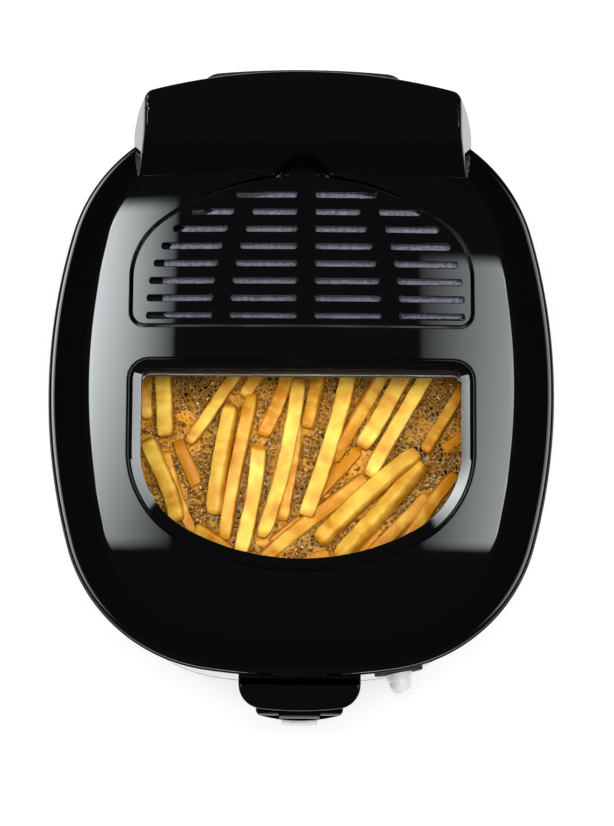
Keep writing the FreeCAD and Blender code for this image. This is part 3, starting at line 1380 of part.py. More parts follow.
def mesh_openings():
    """Upright openings through the tub's four sides, and long ones through its floor."""
    low = float(basket_floor + s.mesh_border)
    tall = float(s.basket_height - s.mesh_border * 2)
    slot = float(s.mesh_slot)
    pitch = float(s.mesh_pitch)
    wide = float(s.lid_half_width)
    deep = float(s.lid_half_depth)
    floor = float(s.basket_wall)
    openings = []
    across = int(float(s.mesh_reach_across) // pitch)
    along = int(float(s.mesh_reach_along) // pitch)
    for n in range(-across, across + 1):
        corner = Vector(n * pitch - slot / 2, -deep, low)
        openings.append(Part.makeBox(slot, deep * 2, tall, corner))
        corner = Vector(n * pitch - slot / 2, -along * pitch, float(basket_floor))
        openings.append(Part.makeBox(slot, along * pitch * 2, floor, corner))
    for n in range(-along, along + 1):
        corner = Vector(-wide, n * pitch - slot / 2, low)
        openings.append(Part.makeBox(wide * 2, slot, tall, corner))
    return openings


def make_mesh():
    """A drafted tub with openings all round and underneath."""
    outer = loft(oval(basket_floor, basket_foot_inset), oval(basket_top, basket_inset))
    inner = loft(oval(basket_floor + s.basket_wall, basket_foot_inset + s.basket_wall),
                 oval(basket_top, basket_inset + s.basket_wall))
    cutter = doc.addObject("Part::Feature", "MeshOpenings")
    cutter.Shape = Part.makeCompound(mesh_openings())
    return cut(outer, inner, cutter)


def make_frame():
    """A rim wire round the mesh's top, a hook at the rear and two flat arms out to the handle's bracket."""
    level = basket_top + s.rim_radius + s.fit_gap / 2
    path = oval(level, basket_inset)
    doc.recompute()
    rim = sweep(path, circle_sketch(s.rim_radius, s.lid_half_width - basket_inset, ZERO, level, FACING_FRONT))
    front = -(s.lid_half_depth - basket_inset) - s.rim_radius
    arms = []
    for side in LEFT_AND_RIGHT:
        left = s.arm_place * side - s.arm_half_width
        right = s.arm_place * side + s.arm_half_width
        leg_rear = front + s.rim_radius
        arms.append(box(left, right, arm_end, leg_rear, arm_level, arm_level + s.arm_thickness))
        arms.append(box(left, right, front, leg_rear, level, arm_level + s.arm_thickness))
    rear = s.lid_half_depth - basket_inset
    hook_rear = s.lid_half_depth - pot_inset + s.hook_lap
    hook = box(-s.hook_half_width, s.hook_half_width, rear, hook_rear, arm_level, arm_level + s.arm_thickness)
    stem = box(-s.hook_half_width, s.hook_half_width, rear, rear + s.rim_radius, level,
               arm_level + s.arm_thickness)
    return fuse(rim, hook, stem, *arms)


keep("basket_mesh", make_mesh())
keep("basket_frame", make_frame())


# Folding handle: bracket, grip, pin and release button

nose_level = lid_rim + s.nose_top
fold_y = nose_rear - s.nose_wall - s.swing_gap - s.fold_radius
fold_z = nose_level - s.nose_plate - s.swing_gap - s.fold_radius


def fold_rod(radius, start, length):
    """A cylinder along the handle's folding axis."""
    return rod(radius, length, start, fold_y, fold_z, FACING_RIGHT)


def nose_plan(level, narrower):
    """The handle's bracket seen from above."""
    return arched(level, s.nose_half_width - narrower, nose_rear, nose_rear - s.nose_reach,
                  s.fit_gap * 5, s.nose_corner, s.nose_arch)


def make_bracket():
    """A half-bowl in front of the lid, with a tongue for the handle's pin and slots for the arms."""
    bowl = loft(nose_plan(nose_level - s.nose_drop, s.nose_taper), nose_plan(nose_level, ZERO))
    room = []
    for side in LEFT_AND_RIGHT:
        edges = sorted((s.tongue_half_width * side, s.nose_half_width * side), key=float)
        room.append(box(edges[0], edges[1], nose_rear - s.nose_reach * 2, nose_rear - s.nose_wall,
                        nose_level - s.nose_drop, nose_level - s.nose_plate))
    tongue_start = -s.tongue_half_width
    tongue_length = s.tongue_half_width * 2
    trimmed = cut(bowl, *room)
    clear = box(tongue_start, s.tongue_half_width, nose_rear - s.nose_reach * 2, nose_rear - s.nose_wall,
                nose_level - s.nose_drop, fold_z)
    tongue = fold_rod(s.fold_radius, tongue_start, tongue_length)
    body = fuse(cut(trimmed, clear), tongue)
    slots = []
    for side in LEFT_AND_RIGHT:
        middle = s.arm_place * side
        wide = s.arm_half_width + s.fit_gap / 2
        slots.append(box(middle - wide, middle + wide, nose_rear - s.nose_wall, nose_rear + s.fit_gap,
                         arm_level - s.fit_gap / 2, arm_level + s.arm_thickness + s.fit_gap / 2))
    pin_hole = fold_rod(s.handle_pin_radius + s.running_gap, tongue_start, tongue_length)
    return cut(body, pin_hole, *slots)


handle_rear = fold_y + s.fold_radius
handle_front = fold_y - s.fold_radius - s.handle_bow
handle_end = fold_z - s.handle_length
fork_level = fold_z - s.fork_depth
fork_gap = s.tongue_half_width + s.swing_gap
button_top = fold_z - s.button_drop
button_back = handle_front + s.button_depth


def handle_plan(level, narrower, thinner):
    """The handle seen from its end: flat towards the fryer, bowed at the front."""
    return arched(level, s.handle_half_width - narrower, handle_rear, handle_front + thinner, s.handle_round,
                  s.handle_round, s.handle_arch)


def button_box(margin, back, front):
    """A block where the release button slides."""
    wide = s.button_half_width + margin
    return box(-wide, wide, front, back, button_top - s.button_height - margin, button_top + margin)


def make_handle():
    """A bowed, tapered grip with a fork round the bracket's tongue."""
    grip = loft(handle_plan(handle_end, s.handle_taper, s.handle_thinning), handle_plan(fork_level, ZERO, ZERO))
    grip = round_edges(grip, s.handle_round / 2, lambda edge: edge.BoundBox.ZMax < float(handle_end) + 0.01)
    cheeks = []
    for side in LEFT_AND_RIGHT:
        edges = sorted((fork_gap * side, (s.handle_half_width - s.handle_round / 2) * side), key=float)
        cheeks.append(box(edges[0], edges[1], fold_y - s.fold_radius, handle_rear, fork_level - s.fold_radius,
                          fold_z))
        cheeks.append(fold_rod(s.fold_radius, edges[0], edges[1] - edges[0]))
    pocket = button_box(s.fit_gap, button_back + s.button_travel + s.fit_gap, handle_front - s.button_proud)
    hole = fold_rod(s.handle_pin_radius, -s.handle_half_width, s.handle_half_width * 2)
    return cut(fuse(grip, *cheeks), pocket, hole)


def make_button():
    """A slide with a bowed face."""
    block = button_box(ZERO, button_back, handle_front - s.button_proud * 2)
    face = prism(arched(button_top - s.button_height, s.handle_half_width, handle_rear,
                        handle_front - s.button_proud, s.handle_round, s.handle_round, s.handle_arch),
                 s.button_height)
    return common(block, face)


pin_half_length = s.handle_half_width - s.handle_round
keep("handle_bracket", make_bracket())
keep("handle_grip", make_handle())
keep("handle_pin", fold_rod(s.handle_pin_radius, -pin_half_length, pin_half_length * 2))
keep("handle_button", make_button())


# Build, test and write


doc.recompute()
for item in doc.Objects:
    if "Invalid" in item.State or "Error" in item.State:
        raise RuntimeError(f"{item.Name} ({item.Label}) failed to build")
os.makedirs("parts", exist_ok=True)
for name, thing in subparts.items():
    if thing.Shape.isNull() or not thing.Shape.isValid():
        raise RuntimeError(f"{name} has no valid shape")
for name, thing in subparts.items():
    thing.Shape.exportStep(f"parts/{name}.step")
    limits = thing.Shape.BoundBox
    print(f"{name:16s} solids {len(thing.Shape.Solids):2d}  volume {thing.Shape.Volume / 1000:8.2f} cm3  "
          f"x {limits.XMin:7.1f} {limits.XMax:7.1f}  y {limits.YMin:7.1f} {limits.YMax:7.1f}  "
          f"z {limits.ZMin:6.1f} {limits.ZMax:6.1f}")
print("hinge axis", float(s.hinge_reach), float(s.hinge_level))
print("cover axis", float(cover_axis_y), float(cover_axis_z))
print("fold axis", float(fold_y), float(fold_z))
print("knob foot", [float(value) for value in at_dial(s.dial_proud + s.swing_gap)])
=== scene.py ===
# %% [markdown]
# # A deep fryer seen from above
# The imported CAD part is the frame: every body, joint and node of the fryer. Around it this lesson makes the
# surfaces that the camera looks at closely: the smooth black lid, the slotted cover, the window's frame,
# the steel body, the wire basket and the frying food. At the end it sets the light and the camera. Lengths
# are in millimetres, as in the CAD source, and meshes are scaled to metres when they are made.

# %% Start
import json
import math

import bpy
import numpy as np
from mathutils import Matrix, Vector, geometry


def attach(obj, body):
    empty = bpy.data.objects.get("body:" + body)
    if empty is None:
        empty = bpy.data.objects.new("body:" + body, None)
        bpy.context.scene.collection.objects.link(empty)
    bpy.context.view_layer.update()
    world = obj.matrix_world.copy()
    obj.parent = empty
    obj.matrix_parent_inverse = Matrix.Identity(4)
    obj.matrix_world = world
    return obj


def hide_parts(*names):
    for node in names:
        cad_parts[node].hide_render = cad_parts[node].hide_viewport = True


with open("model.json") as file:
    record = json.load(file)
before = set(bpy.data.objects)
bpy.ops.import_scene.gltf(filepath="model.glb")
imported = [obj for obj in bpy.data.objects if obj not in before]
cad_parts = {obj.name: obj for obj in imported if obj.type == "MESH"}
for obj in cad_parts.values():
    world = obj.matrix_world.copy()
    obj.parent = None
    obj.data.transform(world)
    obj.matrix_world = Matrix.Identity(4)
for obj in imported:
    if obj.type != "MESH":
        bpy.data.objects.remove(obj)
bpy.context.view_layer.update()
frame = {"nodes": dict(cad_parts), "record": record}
nodes = frame["nodes"]
scene = bpy.context.scene
rng = np.random.default_rng(11)
print("CAD nodes:", len(nodes))

# %% [markdown]
# ## Outlines
# Seen from above, the lid is an oval of eight arcs that run smoothly into each other. It could be drawn as
# a Bezier curve. Worked out as arrays, it also gives the outward direction at every point, and moving the
# points along that direction makes every other oval of the fryer: the lip, the jacket, the basket and the
# oil.

# %% Steps along lines and arcs


def walk(pieces, spacing):
    """Even steps along lines and arcs; each piece is (centre, radius, start, end) or (point, point).
    Returns the points and the outward directions; an arc's direction points away from its centre."""
    points, outward = [], []
    for piece in pieces:
        if len(piece) == 4:
            centre, radius, start, end = piece
            count = max(int(abs(end - start) * radius / spacing), 3)
            angle = np.linspace(start, end, count, endpoint=False)
            direction = np.stack([np.cos(angle), np.sin(angle)], 1)
            points.append(np.asarray(centre) + radius * direction)
        else:
            first, last = np.asarray(piece[0], float), np.asarray(piece[1], float)
            length = np.linalg.norm(last - first)
            count = max(int(length / spacing), 1)
            share = np.linspace(0, 1, count, endpoint=False)[:, None]
            along = (last - first) / length
            direction = np.repeat([[along[1], -along[0]]], count, 0)
            points.append(first + share * (last - first))
        outward.append(direction)
    return np.concatenate(points), np.concatenate(outward)


print("steps round a circle:", len(walk([((0, 0), 10.0, 0, 2 * math.pi)], 1.0)[0]))

# %% Lid outline
HALF_WIDTH, HALF_DEPTH = 139.0, 158.0
SIDE_RADIUS, END_RADIUS, CORNER_RADIUS = 330.0, 360.0, 92.0
SIDE_X, END_Y = HALF_WIDTH - SIDE_RADIUS, HALF_DEPTH - END_RADIUS


def corner_centre():
    """The centre of the lid's corner arc: as far inside the side arc and the end arc as the radii differ."""
    side, end = np.array([SIDE_X, 0.0]), np.array([0.0, END_Y])
    to_side, to_end = SIDE_RADIUS - CORNER_RADIUS, END_RADIUS - CORNER_RADIUS
    apart = np.linalg.norm(end - side)
    along = (to_side ** 2 - to_end ** 2 + apart ** 2) / (2 * apart)
    line = (end - side) / apart
    return side + line * along + np.array([-line[1], line[0]]) * math.sqrt(to_side ** 2 - along ** 2)


CORNER = corner_centre()
LOW_ANGLE = math.atan2(CORNER[1], CORNER[0] - SIDE_X)
HIGH_ANGLE = math.atan2(CORNER[1] - END_Y, CORNER[0])


def lid_outline(spacing):
    """The lid's outline, anticlockwise from the right: side, corner, end, corner, and again turned round."""
    pieces = []
    for flip, turn in ((1, 0.0), (-1, math.pi)):
        other = (-CORNER[0] * flip, CORNER[1] * flip)
        pieces += [
            ((SIDE_X * flip, 0), SIDE_RADIUS, turn - LOW_ANGLE, turn + LOW_ANGLE),
            (CORNER * flip, CORNER_RADIUS, turn + LOW_ANGLE, turn + HIGH_ANGLE),
            ((0, END_Y * flip), END_RADIUS, turn + HIGH_ANGLE, turn + math.pi - HIGH_ANGLE),
            (other, CORNER_RADIUS, turn + math.pi - HIGH_ANGLE, turn + math.pi - LOW_ANGLE),
        ]
    return walk(pieces, spacing)


def lid_inset(x, y):
    """How far a point lies inside the lid's outline: radius less the distance to its own arc's centre."""
    x, y = np.abs(x), np.abs(y)
    side = SIDE_RADIUS - np.hypot(x - SIDE_X, y)
    end = END_RADIUS - np.hypot(x, y - END_Y)
    corner = CORNER_RADIUS - np.hypot(x - CORNER[0], y - CORNER[1])
    by_side = np.arctan2(y, x - SIDE_X) <= LOW_ANGLE
    by_end = np.arctan2(y - END_Y, x) >= HIGH_ANGLE
    return np.where(by_side, side, np.where(by_end, end, corner))


print("centre of the lid's corner arc:", CORNER.round(1))

# %% [markdown]
# ## D-shapes
# The window, the filter cover, the hood and the handle are D-shapes with rounded corners. They could be
# curves with a fillet on each point. As lines and arcs they keep their sizes exactly and share the steps
# above.

# %% D-shapes


def d_outline(half_width, flat, tip, corner, shoulder, arch, spacing):
    """A D-shape, anticlockwise: straight edge, corners, sides, shoulders and an arched tip."""
    facing = 1 if tip > flat else -1
    middle = tip - facing * arch
    rise = math.sqrt((arch - shoulder) ** 2 - (half_width - shoulder) ** 2)
    turn_in = middle + facing * rise
    lean = math.atan2(rise, half_width - shoulder)
    low = flat + facing * corner
    half, full = math.pi / 2, math.pi
    inner, round_in = half_width - corner, half_width - shoulder
    if facing > 0:
        pieces = [
            ((-inner, flat), (inner, flat)), ((inner, low), corner, -half, 0),
            ((half_width, low), (half_width, turn_in)), ((round_in, turn_in), shoulder, 0, lean),
            ((0, middle), arch, lean, full - lean), ((-round_in, turn_in), shoulder, full - lean, full),
            ((-half_width, turn_in), (-half_width, low)), ((-inner, low), corner, full, full + half),
        ]
    else:
        pieces = [
            ((inner, flat), (-inner, flat)), ((-inner, low), corner, half, full),
            ((-half_width, low), (-half_width, turn_in)), ((-round_in, turn_in), shoulder, full, full + lean),
            ((0, middle), arch, full + lean, 2 * full - lean), ((round_in, turn_in), shoulder, -lean, 0),
            ((half_width, turn_in), (half_width, low)), ((inner, low), corner, 0, half),
        ]
    return walk(pieces, spacing)


print("steps round a small D-shape:", len(d_outline(10, 0, 12, 2, 2, 11, 1.0)[0]))

# %% Distance to an outline


def inside_by(points, loop, batch=4000):
    """Distance from points to a closed outline, positive inside. The nearest edge gives the distance, and the
    number of edges crossed on the way out tells the side."""
    first, last = loop, np.roll(loop, -1, 0)
    edge = last - first
    best = np.full(len(points), np.inf)
    crossings = np.zeros(len(points), int)
    for low in range(0, len(points), batch):
        p = points[low:low + batch, None, :]
        share = np.clip(((p - first) * edge).sum(2) / (edge ** 2).sum(1), 0, 1)
        gap = np.linalg.norm(p - first - share[..., None] * edge, axis=2)
        best[low:low + batch] = gap.min(1)
        spans = (first[:, 1] > p[..., 1]) != (last[:, 1] > p[..., 1])
        with np.errstate(divide="ignore", invalid="ignore"):
            at = first[:, 0] + edge[:, 0] * (p[..., 1] - first[:, 1]) / edge[:, 1]
        crossings[low:low + batch] = (spans & (p[..., 0] < at)).sum(1)
    return np.where(crossings % 2 == 1, best, -best)


square = np.array([[-1.0, -1.0], [1.0, -1.0], [1.0, 1.0], [-1.0, 1.0]])
print("the middle of a small square is inside by", inside_by(np.zeros((1, 2)), square)[0])

# %% Cover, window and hood
# Half width, straight edge, tip, corner radius, shoulder radius and arch radius.
COVER = (92.6, 31.0, 115.0, 7.0, 40.0, 125.0)
PANE = (88.5, 7.0, -98.0, 6.0, 50.0, 130.0)
HOOD_HALF_WIDTH, HOOD_REACH, HOOD_WALL_SPREAD = 94.6, 168.2, 8.4
HOOD = (HOOD_HALF_WIDTH, 46.0, HOOD_REACH, 1.0, 14.0, 330.0)
HOOD_WALL = (*HOOD[:2], HOOD_REACH + HOOD_WALL_SPREAD, *HOOD[3:])
COVER_GAP, LOOP_STEP = 1.4, 1.6
hood_loop, hood_out = d_outline(*HOOD, LOOP_STEP)
hood_wall_loop, _ = d_outline(*HOOD_WALL, LOOP_STEP)
cover_loop, cover_out = d_outline(*COVER, LOOP_STEP)
pane_loop, pane_out = d_outline(*PANE, LOOP_STEP)
opening_loop = cover_loop + COVER_GAP * cover_out


def grown_pane(grow, grow_rear):
    """The window's outline moved out, by another amount along its straight rear edge."""
    rear = pane_out[:, 1:] > 0
    return pane_loop + pane_out * np.where(rear, [[grow, grow_rear]], [[grow, grow]])


window_loop = grown_pane(6.0, 5.2)
print("points round cover and window:", len(cover_loop), len(pane_loop))

# %% [markdown]
# ## Meshes
# A mesh is points and faces. Most pieces here are rows of points with quads between them, as Blender's
# Bridge Edge Loops makes them. Made as arrays, the rows can follow any formula, and smooth shading with
# breaks at sharp bends gives moulded plastic and bent steel their edges.

# %% Objects from arrays


def add_mesh(name, verts, faces, corner_normals=None, smooth=True, attributes=None):
    """Make an object from points in millimetres and faces; corner normals are one per face corner."""
    mesh = bpy.data.meshes.new(name)
    mesh.from_pydata((np.asarray(verts) * 0.001).tolist(), [], [list(map(int, face)) for face in faces])
    mesh.polygons.foreach_set("use_smooth", np.full(len(mesh.polygons), smooth))
    for key, values in (attributes or {}).items():
        layer = mesh.attributes.new(key, "FLOAT", "POINT")
        layer.data.foreach_set("value", np.asarray(values, np.float32))
    if corner_normals is not None:
        mesh.normals_split_custom_set(np.asarray(corner_normals).tolist())
    thing = bpy.data.objects.new(name, mesh)
    scene.collection.objects.link(thing)
    return thing


def unit(vectors):
    """Vectors divided by their length."""
    return vectors / np.maximum(np.linalg.norm(vectors, axis=-1, keepdims=True), 1e-12)


def at_level(plan, level):
    """Points of the plan with a height, which is one number or one for each point."""
    return np.column_stack([plan, np.broadcast_to(level, len(plan))])


print("a direction of length one:", unit(np.array([3.0, 0.0, 4.0])))

# %% Rows of points


def strip(rows, closed=True):
    """Quads between rows of points that all have the same length; returns points and faces."""
    rows = np.asarray(rows)
    tall, wide = rows.shape[:2]
    across = np.arange(wide if closed else wide - 1)
    after = (across + 1) % wide
    base = np.arange(tall - 1)[:, None] * wide
    quads = np.stack([base + across, base + after, base + wide + after, base + wide + across], -1)
    return rows.reshape(-1, 3), quads.reshape(-1, 4)


def join(*parts):
    """Several (points, faces) pairs as one; each pair's faces count on from the points before it."""
    verts, faces, start = [], [], 0
    for points, some in parts:
        verts.append(points)
        faces += [np.asarray(face) + start for face in some]
        start += len(points)
    return np.concatenate(verts), faces


def crisp(thing, degrees=35.0):
    """Smooth shading, with a break at every edge that bends more than an angle."""
    mesh = thing.data
    mesh.polygons.foreach_set("use_smooth", np.ones(len(mesh.polygons), bool))
    weld = thing.modifiers.new("weld", "WELD")
    weld.merge_threshold = 2e-5
    split = thing.modifiers.new("split", "EDGE_SPLIT")
    split.split_angle = math.radians(degrees)
    return thing


print("faces between two rows of 12 points:", len(strip(np.zeros((2, 12, 3)))[1]))

# %% [markdown]
# ## Finishes
# The fryer is gloss black plastic, brushed and plain steel, chrome, felt and rubber. Real surfaces are
# never quite even, so one node group of stretched noise serves every finish: it varies the roughness, and
# where a finish needs it, the height and the brightness. An image could do this too, but noise needs no
# file and no unwrapped faces.

# %% Grain node group


def add_node(tree, kind, inputs=None, **settings):
    """A shader node with its settings and the values of its inputs."""
    node = tree.nodes.new(kind)
    for key, value in settings.items():
        setattr(node, key, value)
    for socket, value in (inputs or {}).items():
        node.inputs[socket].default_value = value
    return node


def link_all(tree, *pairs):
    """Links, each from an output to an input."""
    for source, target in pairs:
        tree.links.new(source, target)


def grain_group():
    """Noise in object space, stretched along the axes. It gives the bare grain, a roughness between a low and
    a high value, and the colour times a brightness between two values."""
    group = bpy.data.node_groups.new("grain", "ShaderNodeTree")
    inputs = {"Stretch": "Vector", "Scale": "Float", "Detail": "Float", "Low Roughness": "Float",
              "High Roughness": "Float", "Colour": "Color", "Darkest": "Float", "Brightest": "Float"}
    outputs = {"Grain": "Float", "Roughness": "Float", "Colour": "Color"}
    for way, sockets in (("INPUT", inputs), ("OUTPUT", outputs)):
        for name, kind in sockets.items():
            group.interface.new_socket(name, in_out=way, socket_type="NodeSocket" + kind)
    given, result = group.nodes.new("NodeGroupInput").outputs, group.nodes.new("NodeGroupOutput").inputs
    where = add_node(group, "ShaderNodeTexCoord")
    place = add_node(group, "ShaderNodeMapping")
    noise = add_node(group, "ShaderNodeTexNoise")
    spread = add_node(group, "ShaderNodeMapRange")
    shade = add_node(group, "ShaderNodeMapRange", {"From Min": 0.3, "From Max": 0.7})
    tint = add_node(group, "ShaderNodeVectorMath", operation="SCALE")
    link_all(
        group, (where.outputs["Object"], place.inputs["Vector"]), (given["Stretch"], place.inputs["Scale"]),
        (place.outputs["Vector"], noise.inputs["Vector"]), (given["Scale"], noise.inputs["Scale"]),
        (given["Detail"], noise.inputs["Detail"]), (noise.outputs["Fac"], result["Grain"]),
        (noise.outputs["Fac"], spread.inputs["Value"]), (given["Low Roughness"], spread.inputs["To Min"]),
        (given["High Roughness"], spread.inputs["To Max"]), (spread.outputs["Result"], result["Roughness"]),
        (noise.outputs["Fac"], shade.inputs["Value"]), (given["Darkest"], shade.inputs["To Min"]),
        (given["Brightest"], shade.inputs["To Max"]), (given["Colour"], tint.inputs[0]),
        (shade.outputs["Result"], tint.inputs["Scale"]), (tint.outputs["Vector"], result["Colour"]))
    return group


GRAIN = grain_group()
print("sockets of the grain group:", len(GRAIN.interface.items_tree))

# %% Materials with grain
materials = {}


def new_material(name, **inputs):
    """A material with its Principled shader; inputs are named with low lines for spaces."""
    material = bpy.data.materials.new(name)
    material.use_nodes = True
    shader = material.node_tree.nodes["Principled BSDF"]
    for key, value in inputs.items():
        shader.inputs[key.replace("_", " ")].default_value = value
    materials[name] = material
    return material.node_tree, shader


def add_grain(tree, scale, detail, **inputs):
    """The grain group placed in a material with its own values."""
    grain = add_node(tree, "ShaderNodeGroup", node_tree=GRAIN)
    values = {"Stretch": (1, 1, 1), "Scale": scale, "Detail": detail, **inputs}
    for socket, value in values.items():
        grain.inputs[socket].default_value = value
    return grain


def add_relief(tree, shader, height, strength, distance):
    """Bumps from a height, on a shader's normal."""
    relief = add_node(tree, "ShaderNodeBump", {"Strength": strength, "Distance": distance})
    link_all(tree, (height, relief.inputs["Height"]), (relief.outputs["Normal"], shader.inputs["Normal"]))


def finish_of(name, colour, roughness, metallic=0.0, grain=0.0, grain_scale=400.0, bump=0.0,
              stretch=(1, 1, 1), specular=0.5, mottle=0.0):
    """A Principled finish: grain moves its roughness up and down, and its height and brightness if asked."""
    tree, shader = new_material(name, Base_Color=(*colour, 1), Roughness=roughness, Metallic=metallic,
                                Specular_IOR_Level=specular)
    values = {"Stretch": stretch, "Low Roughness": max(roughness - grain, 0.005),
              "High Roughness": roughness + grain, "Colour": (*colour, 1), "Darkest": 1 - mottle,
              "Brightest": 1 + mottle}
    noise = add_grain(tree, grain_scale, 4, **values)
    tree.links.new(noise.outputs["Roughness"], shader.inputs["Roughness"])
    if mottle:
        tree.links.new(noise.outputs["Colour"], shader.inputs["Base Color"])
    if bump:
        add_relief(tree, shader, noise.outputs["Grain"], bump, 0.0004)


print("finishes so far:", len(materials))

# %% Finishes
finish_of("gloss_black", (0.0018, 0.0018, 0.002), 0.02, grain=0.01, grain_scale=60)
finish_of("matte_black", (0.005, 0.005, 0.0052), 0.4, grain=0.06, bump=0.2, grain_scale=1500, specular=0.3)
finish_of("body_steel", (0.8, 0.8, 0.79), 0.24, metallic=1.0, grain=0.06, grain_scale=300,
          stretch=(0.04, 0.04, 6), bump=0.06, mottle=0.16)
finish_of("inner_steel", (0.5, 0.5, 0.5), 0.33, metallic=1.0, grain=0.05, grain_scale=500)
finish_of("pot_coating", (0.02, 0.02, 0.022), 0.4, grain=0.08, grain_scale=900, bump=0.2)
finish_of("knob_chrome", (0.9, 0.9, 0.91), 0.25, metallic=0.3, grain=0.04)
finish_of("silver_plastic", (0.78, 0.78, 0.78), 0.3, metallic=0.4, grain=0.05)
finish_of("felt", (0.085, 0.086, 0.108), 0.95, grain=0.02, grain_scale=500, bump=0.8, specular=0.1,
          mottle=0.5)
finish_of("carbon", (0.01, 0.01, 0.01), 0.95, bump=0.8, grain_scale=1200, specular=0.1)
finish_of("seal_rubber", (0.02, 0.02, 0.02), 0.6, grain=0.08, grain_scale=900)
finish_of("wire", (0.6, 0.6, 0.6), 0.2, metallic=1.0, grain=0.05)
finish_of("fastener_steel", (0.45, 0.45, 0.45), 0.35, metallic=1.0, grain=0.08)
finish_of("heater_tube", (0.2, 0.19, 0.18), 0.45, metallic=1.0, grain=0.1)
finish_of("dial_black", (0.006, 0.006, 0.007), 0.6, grain=0.05, specular=0.1)
finish_of("pin_brass", (0.75, 0.55, 0.25), 0.25, metallic=1.0, grain=0.05)
finish_of("pilot_red", (0.35, 0.01, 0.008), 0.12, grain=0.02)
finish_of("cutout_ceramic", (0.75, 0.72, 0.66), 0.35, grain=0.05)
print("finishes:", len(materials))

# %% Glass, and finishes on the CAD nodes


def pane_material():
    """Clear glass; light that only passes through to lay shadows and soft light goes straight on."""
    tree, shader = new_material("pane", Base_Color=(1, 1, 1, 1), Roughness=0.0, IOR=1.45,
                                Transmission_Weight=1.0)
    clear = add_node(tree, "ShaderNodeBsdfTransparent")
    path = add_node(tree, "ShaderNodeLightPath")
    either = add_node(tree, "ShaderNodeMath", operation="MAXIMUM")
    mix = add_node(tree, "ShaderNodeMixShader")
    link_all(tree, (path.outputs["Is Shadow Ray"], either.inputs[0]),
             (path.outputs["Is Diffuse Ray"], either.inputs[1]), (either.outputs[0], mix.inputs[0]),
             (shader.outputs[0], mix.inputs[1]), (clear.outputs[0], mix.inputs[2]),
             (mix.outputs[0], tree.nodes["Material Output"].inputs[0]))


def dress(thing, slot):
    """Give a piece the finish named after one of the record's slots."""
    thing.data.materials.clear()
    thing.data.materials.append(materials[slot])
    return thing


pane_material()
slot_of = {row["node"]: row["material_slot"] for row in frame["record"]["subparts"]}
for node_name, thing in nodes.items():
    thing.data.materials.clear()
    thing.data.materials.append(materials[slot_of[node_name]])
    if node_name != "window_glass":
        crisp(thing)
for node_name in ("dial_plate", "window_clamp", "window_seal"):
    nodes[node_name].data.materials[0] = materials["dial_black"]
print("CAD nodes with a finish:", len(slot_of))

# %% [markdown]
# ## The lid's height
# The real lid is one moulding: a steep shoulder, a crowned top, a raised hood at the rear and a finger
# recess. It could be sculpted or modelled with subdivision, but a gloss black surface shows every dent. So
# the lid is a height over the plan: the dome is the lower of shoulder and crown, the hood is the lower of
# its side profile and its drafted walls, and the lid is the higher of dome and hood. Soft blends round
# every fold.

# %% Dome
RIM, CROWN_TOP, CROWN_RADIUS = 172.8, 204.3, 1500.0
LEDGE_INSET, LEDGE_LEVEL, SHOULDER_SLOPE, SHOULDER_BLEND = 3.2, 180.0, 1.09, 1.6
OUTSIDE_LEVEL = 120.0


def soft_min(a, b, blend):
    """The lower of two heights, with the fold between them rounded over a blend width."""
    mix = np.clip(0.5 + 0.5 * (b - a) / blend, 0, 1)
    return b + (a - b) * mix - blend * mix * (1 - mix)


def crown(x, y):
    """A ball of large radius."""
    return CROWN_TOP - CROWN_RADIUS + np.sqrt(CROWN_RADIUS ** 2 - x ** 2 - y ** 2)


def dome(x, y):
    """Shoulder below, crown above; outside the outline it falls away."""
    inset = lid_inset(x, y)
    shoulder = LEDGE_LEVEL + (inset - LEDGE_INSET) * SHOULDER_SLOPE
    return np.where(inset < -0.5, OUTSIDE_LEVEL, soft_min(shoulder, crown(x, y), SHOULDER_BLEND))


print("crown above the ledge:", round(CROWN_TOP - LEDGE_LEVEL, 1), "mm")

# %% Hood
HOOD_FRONT, HOOD_TOP, HOOD_SLOPE, HOOD_DRAFT = 115.0, 223.3, math.radians(56), 65.5 / 10.9
HOOD_FOOT_RADIUS, HOOD_BROW_RADIUS, HOOD_EDGE_BLEND, HOOD_FOOT_BLEND = 0.1, 14.0, 5.0, 0.12


def hood_profile(y):
    """Seen from the side: a concave foot, a slope, a convex brow and a level top. In front of the foot it
    dips, so that it stays under the dome."""
    foot = float(crown(HOOD_HALF_WIDTH, HOOD_FRONT))
    sine, cosine = math.sin(HOOD_SLOPE), math.cos(HOOD_SLOPE)
    bend_y = HOOD_FRONT + HOOD_FOOT_RADIUS * sine
    bend_z = foot + HOOD_FOOT_RADIUS * (1 - cosine)
    rise = HOOD_TOP - foot - (HOOD_FOOT_RADIUS + HOOD_BROW_RADIUS) * (1 - cosine)
    ease_y = bend_y + rise / math.tan(HOOD_SLOPE)
    brow_y = ease_y + HOOD_BROW_RADIUS * sine
    run = np.clip(y - HOOD_FRONT, 0, HOOD_FOOT_RADIUS * sine)
    concave = foot + HOOD_FOOT_RADIUS - np.sqrt(HOOD_FOOT_RADIUS ** 2 - run ** 2)
    line = bend_z + (y - bend_y) * math.tan(HOOD_SLOPE)
    back = np.clip(brow_y - y, 0, HOOD_BROW_RADIUS * sine)
    convex = HOOD_TOP - HOOD_BROW_RADIUS + np.sqrt(HOOD_BROW_RADIUS ** 2 - back ** 2)
    dip = 0.8 * np.clip(HOOD_FRONT - y, 0, 60)
    return np.where(y < bend_y, concave, np.where(y < ease_y, line, convex)) - dip


def hood_foot(half_width=92, count=190):
    """Where the hood's front meets the dome, found by halving the gap between the two heights."""
    x = np.linspace(-half_width, half_width, count)
    low, high = np.full(count, 88.0), np.full(count, 135.0)
    for _ in range(40):
        middle = (low + high) / 2
        above = hood_profile(middle) > dome(x, middle)
        low, high = np.where(above, low, middle), np.where(above, middle, high)
    return np.stack([x, low], 1)


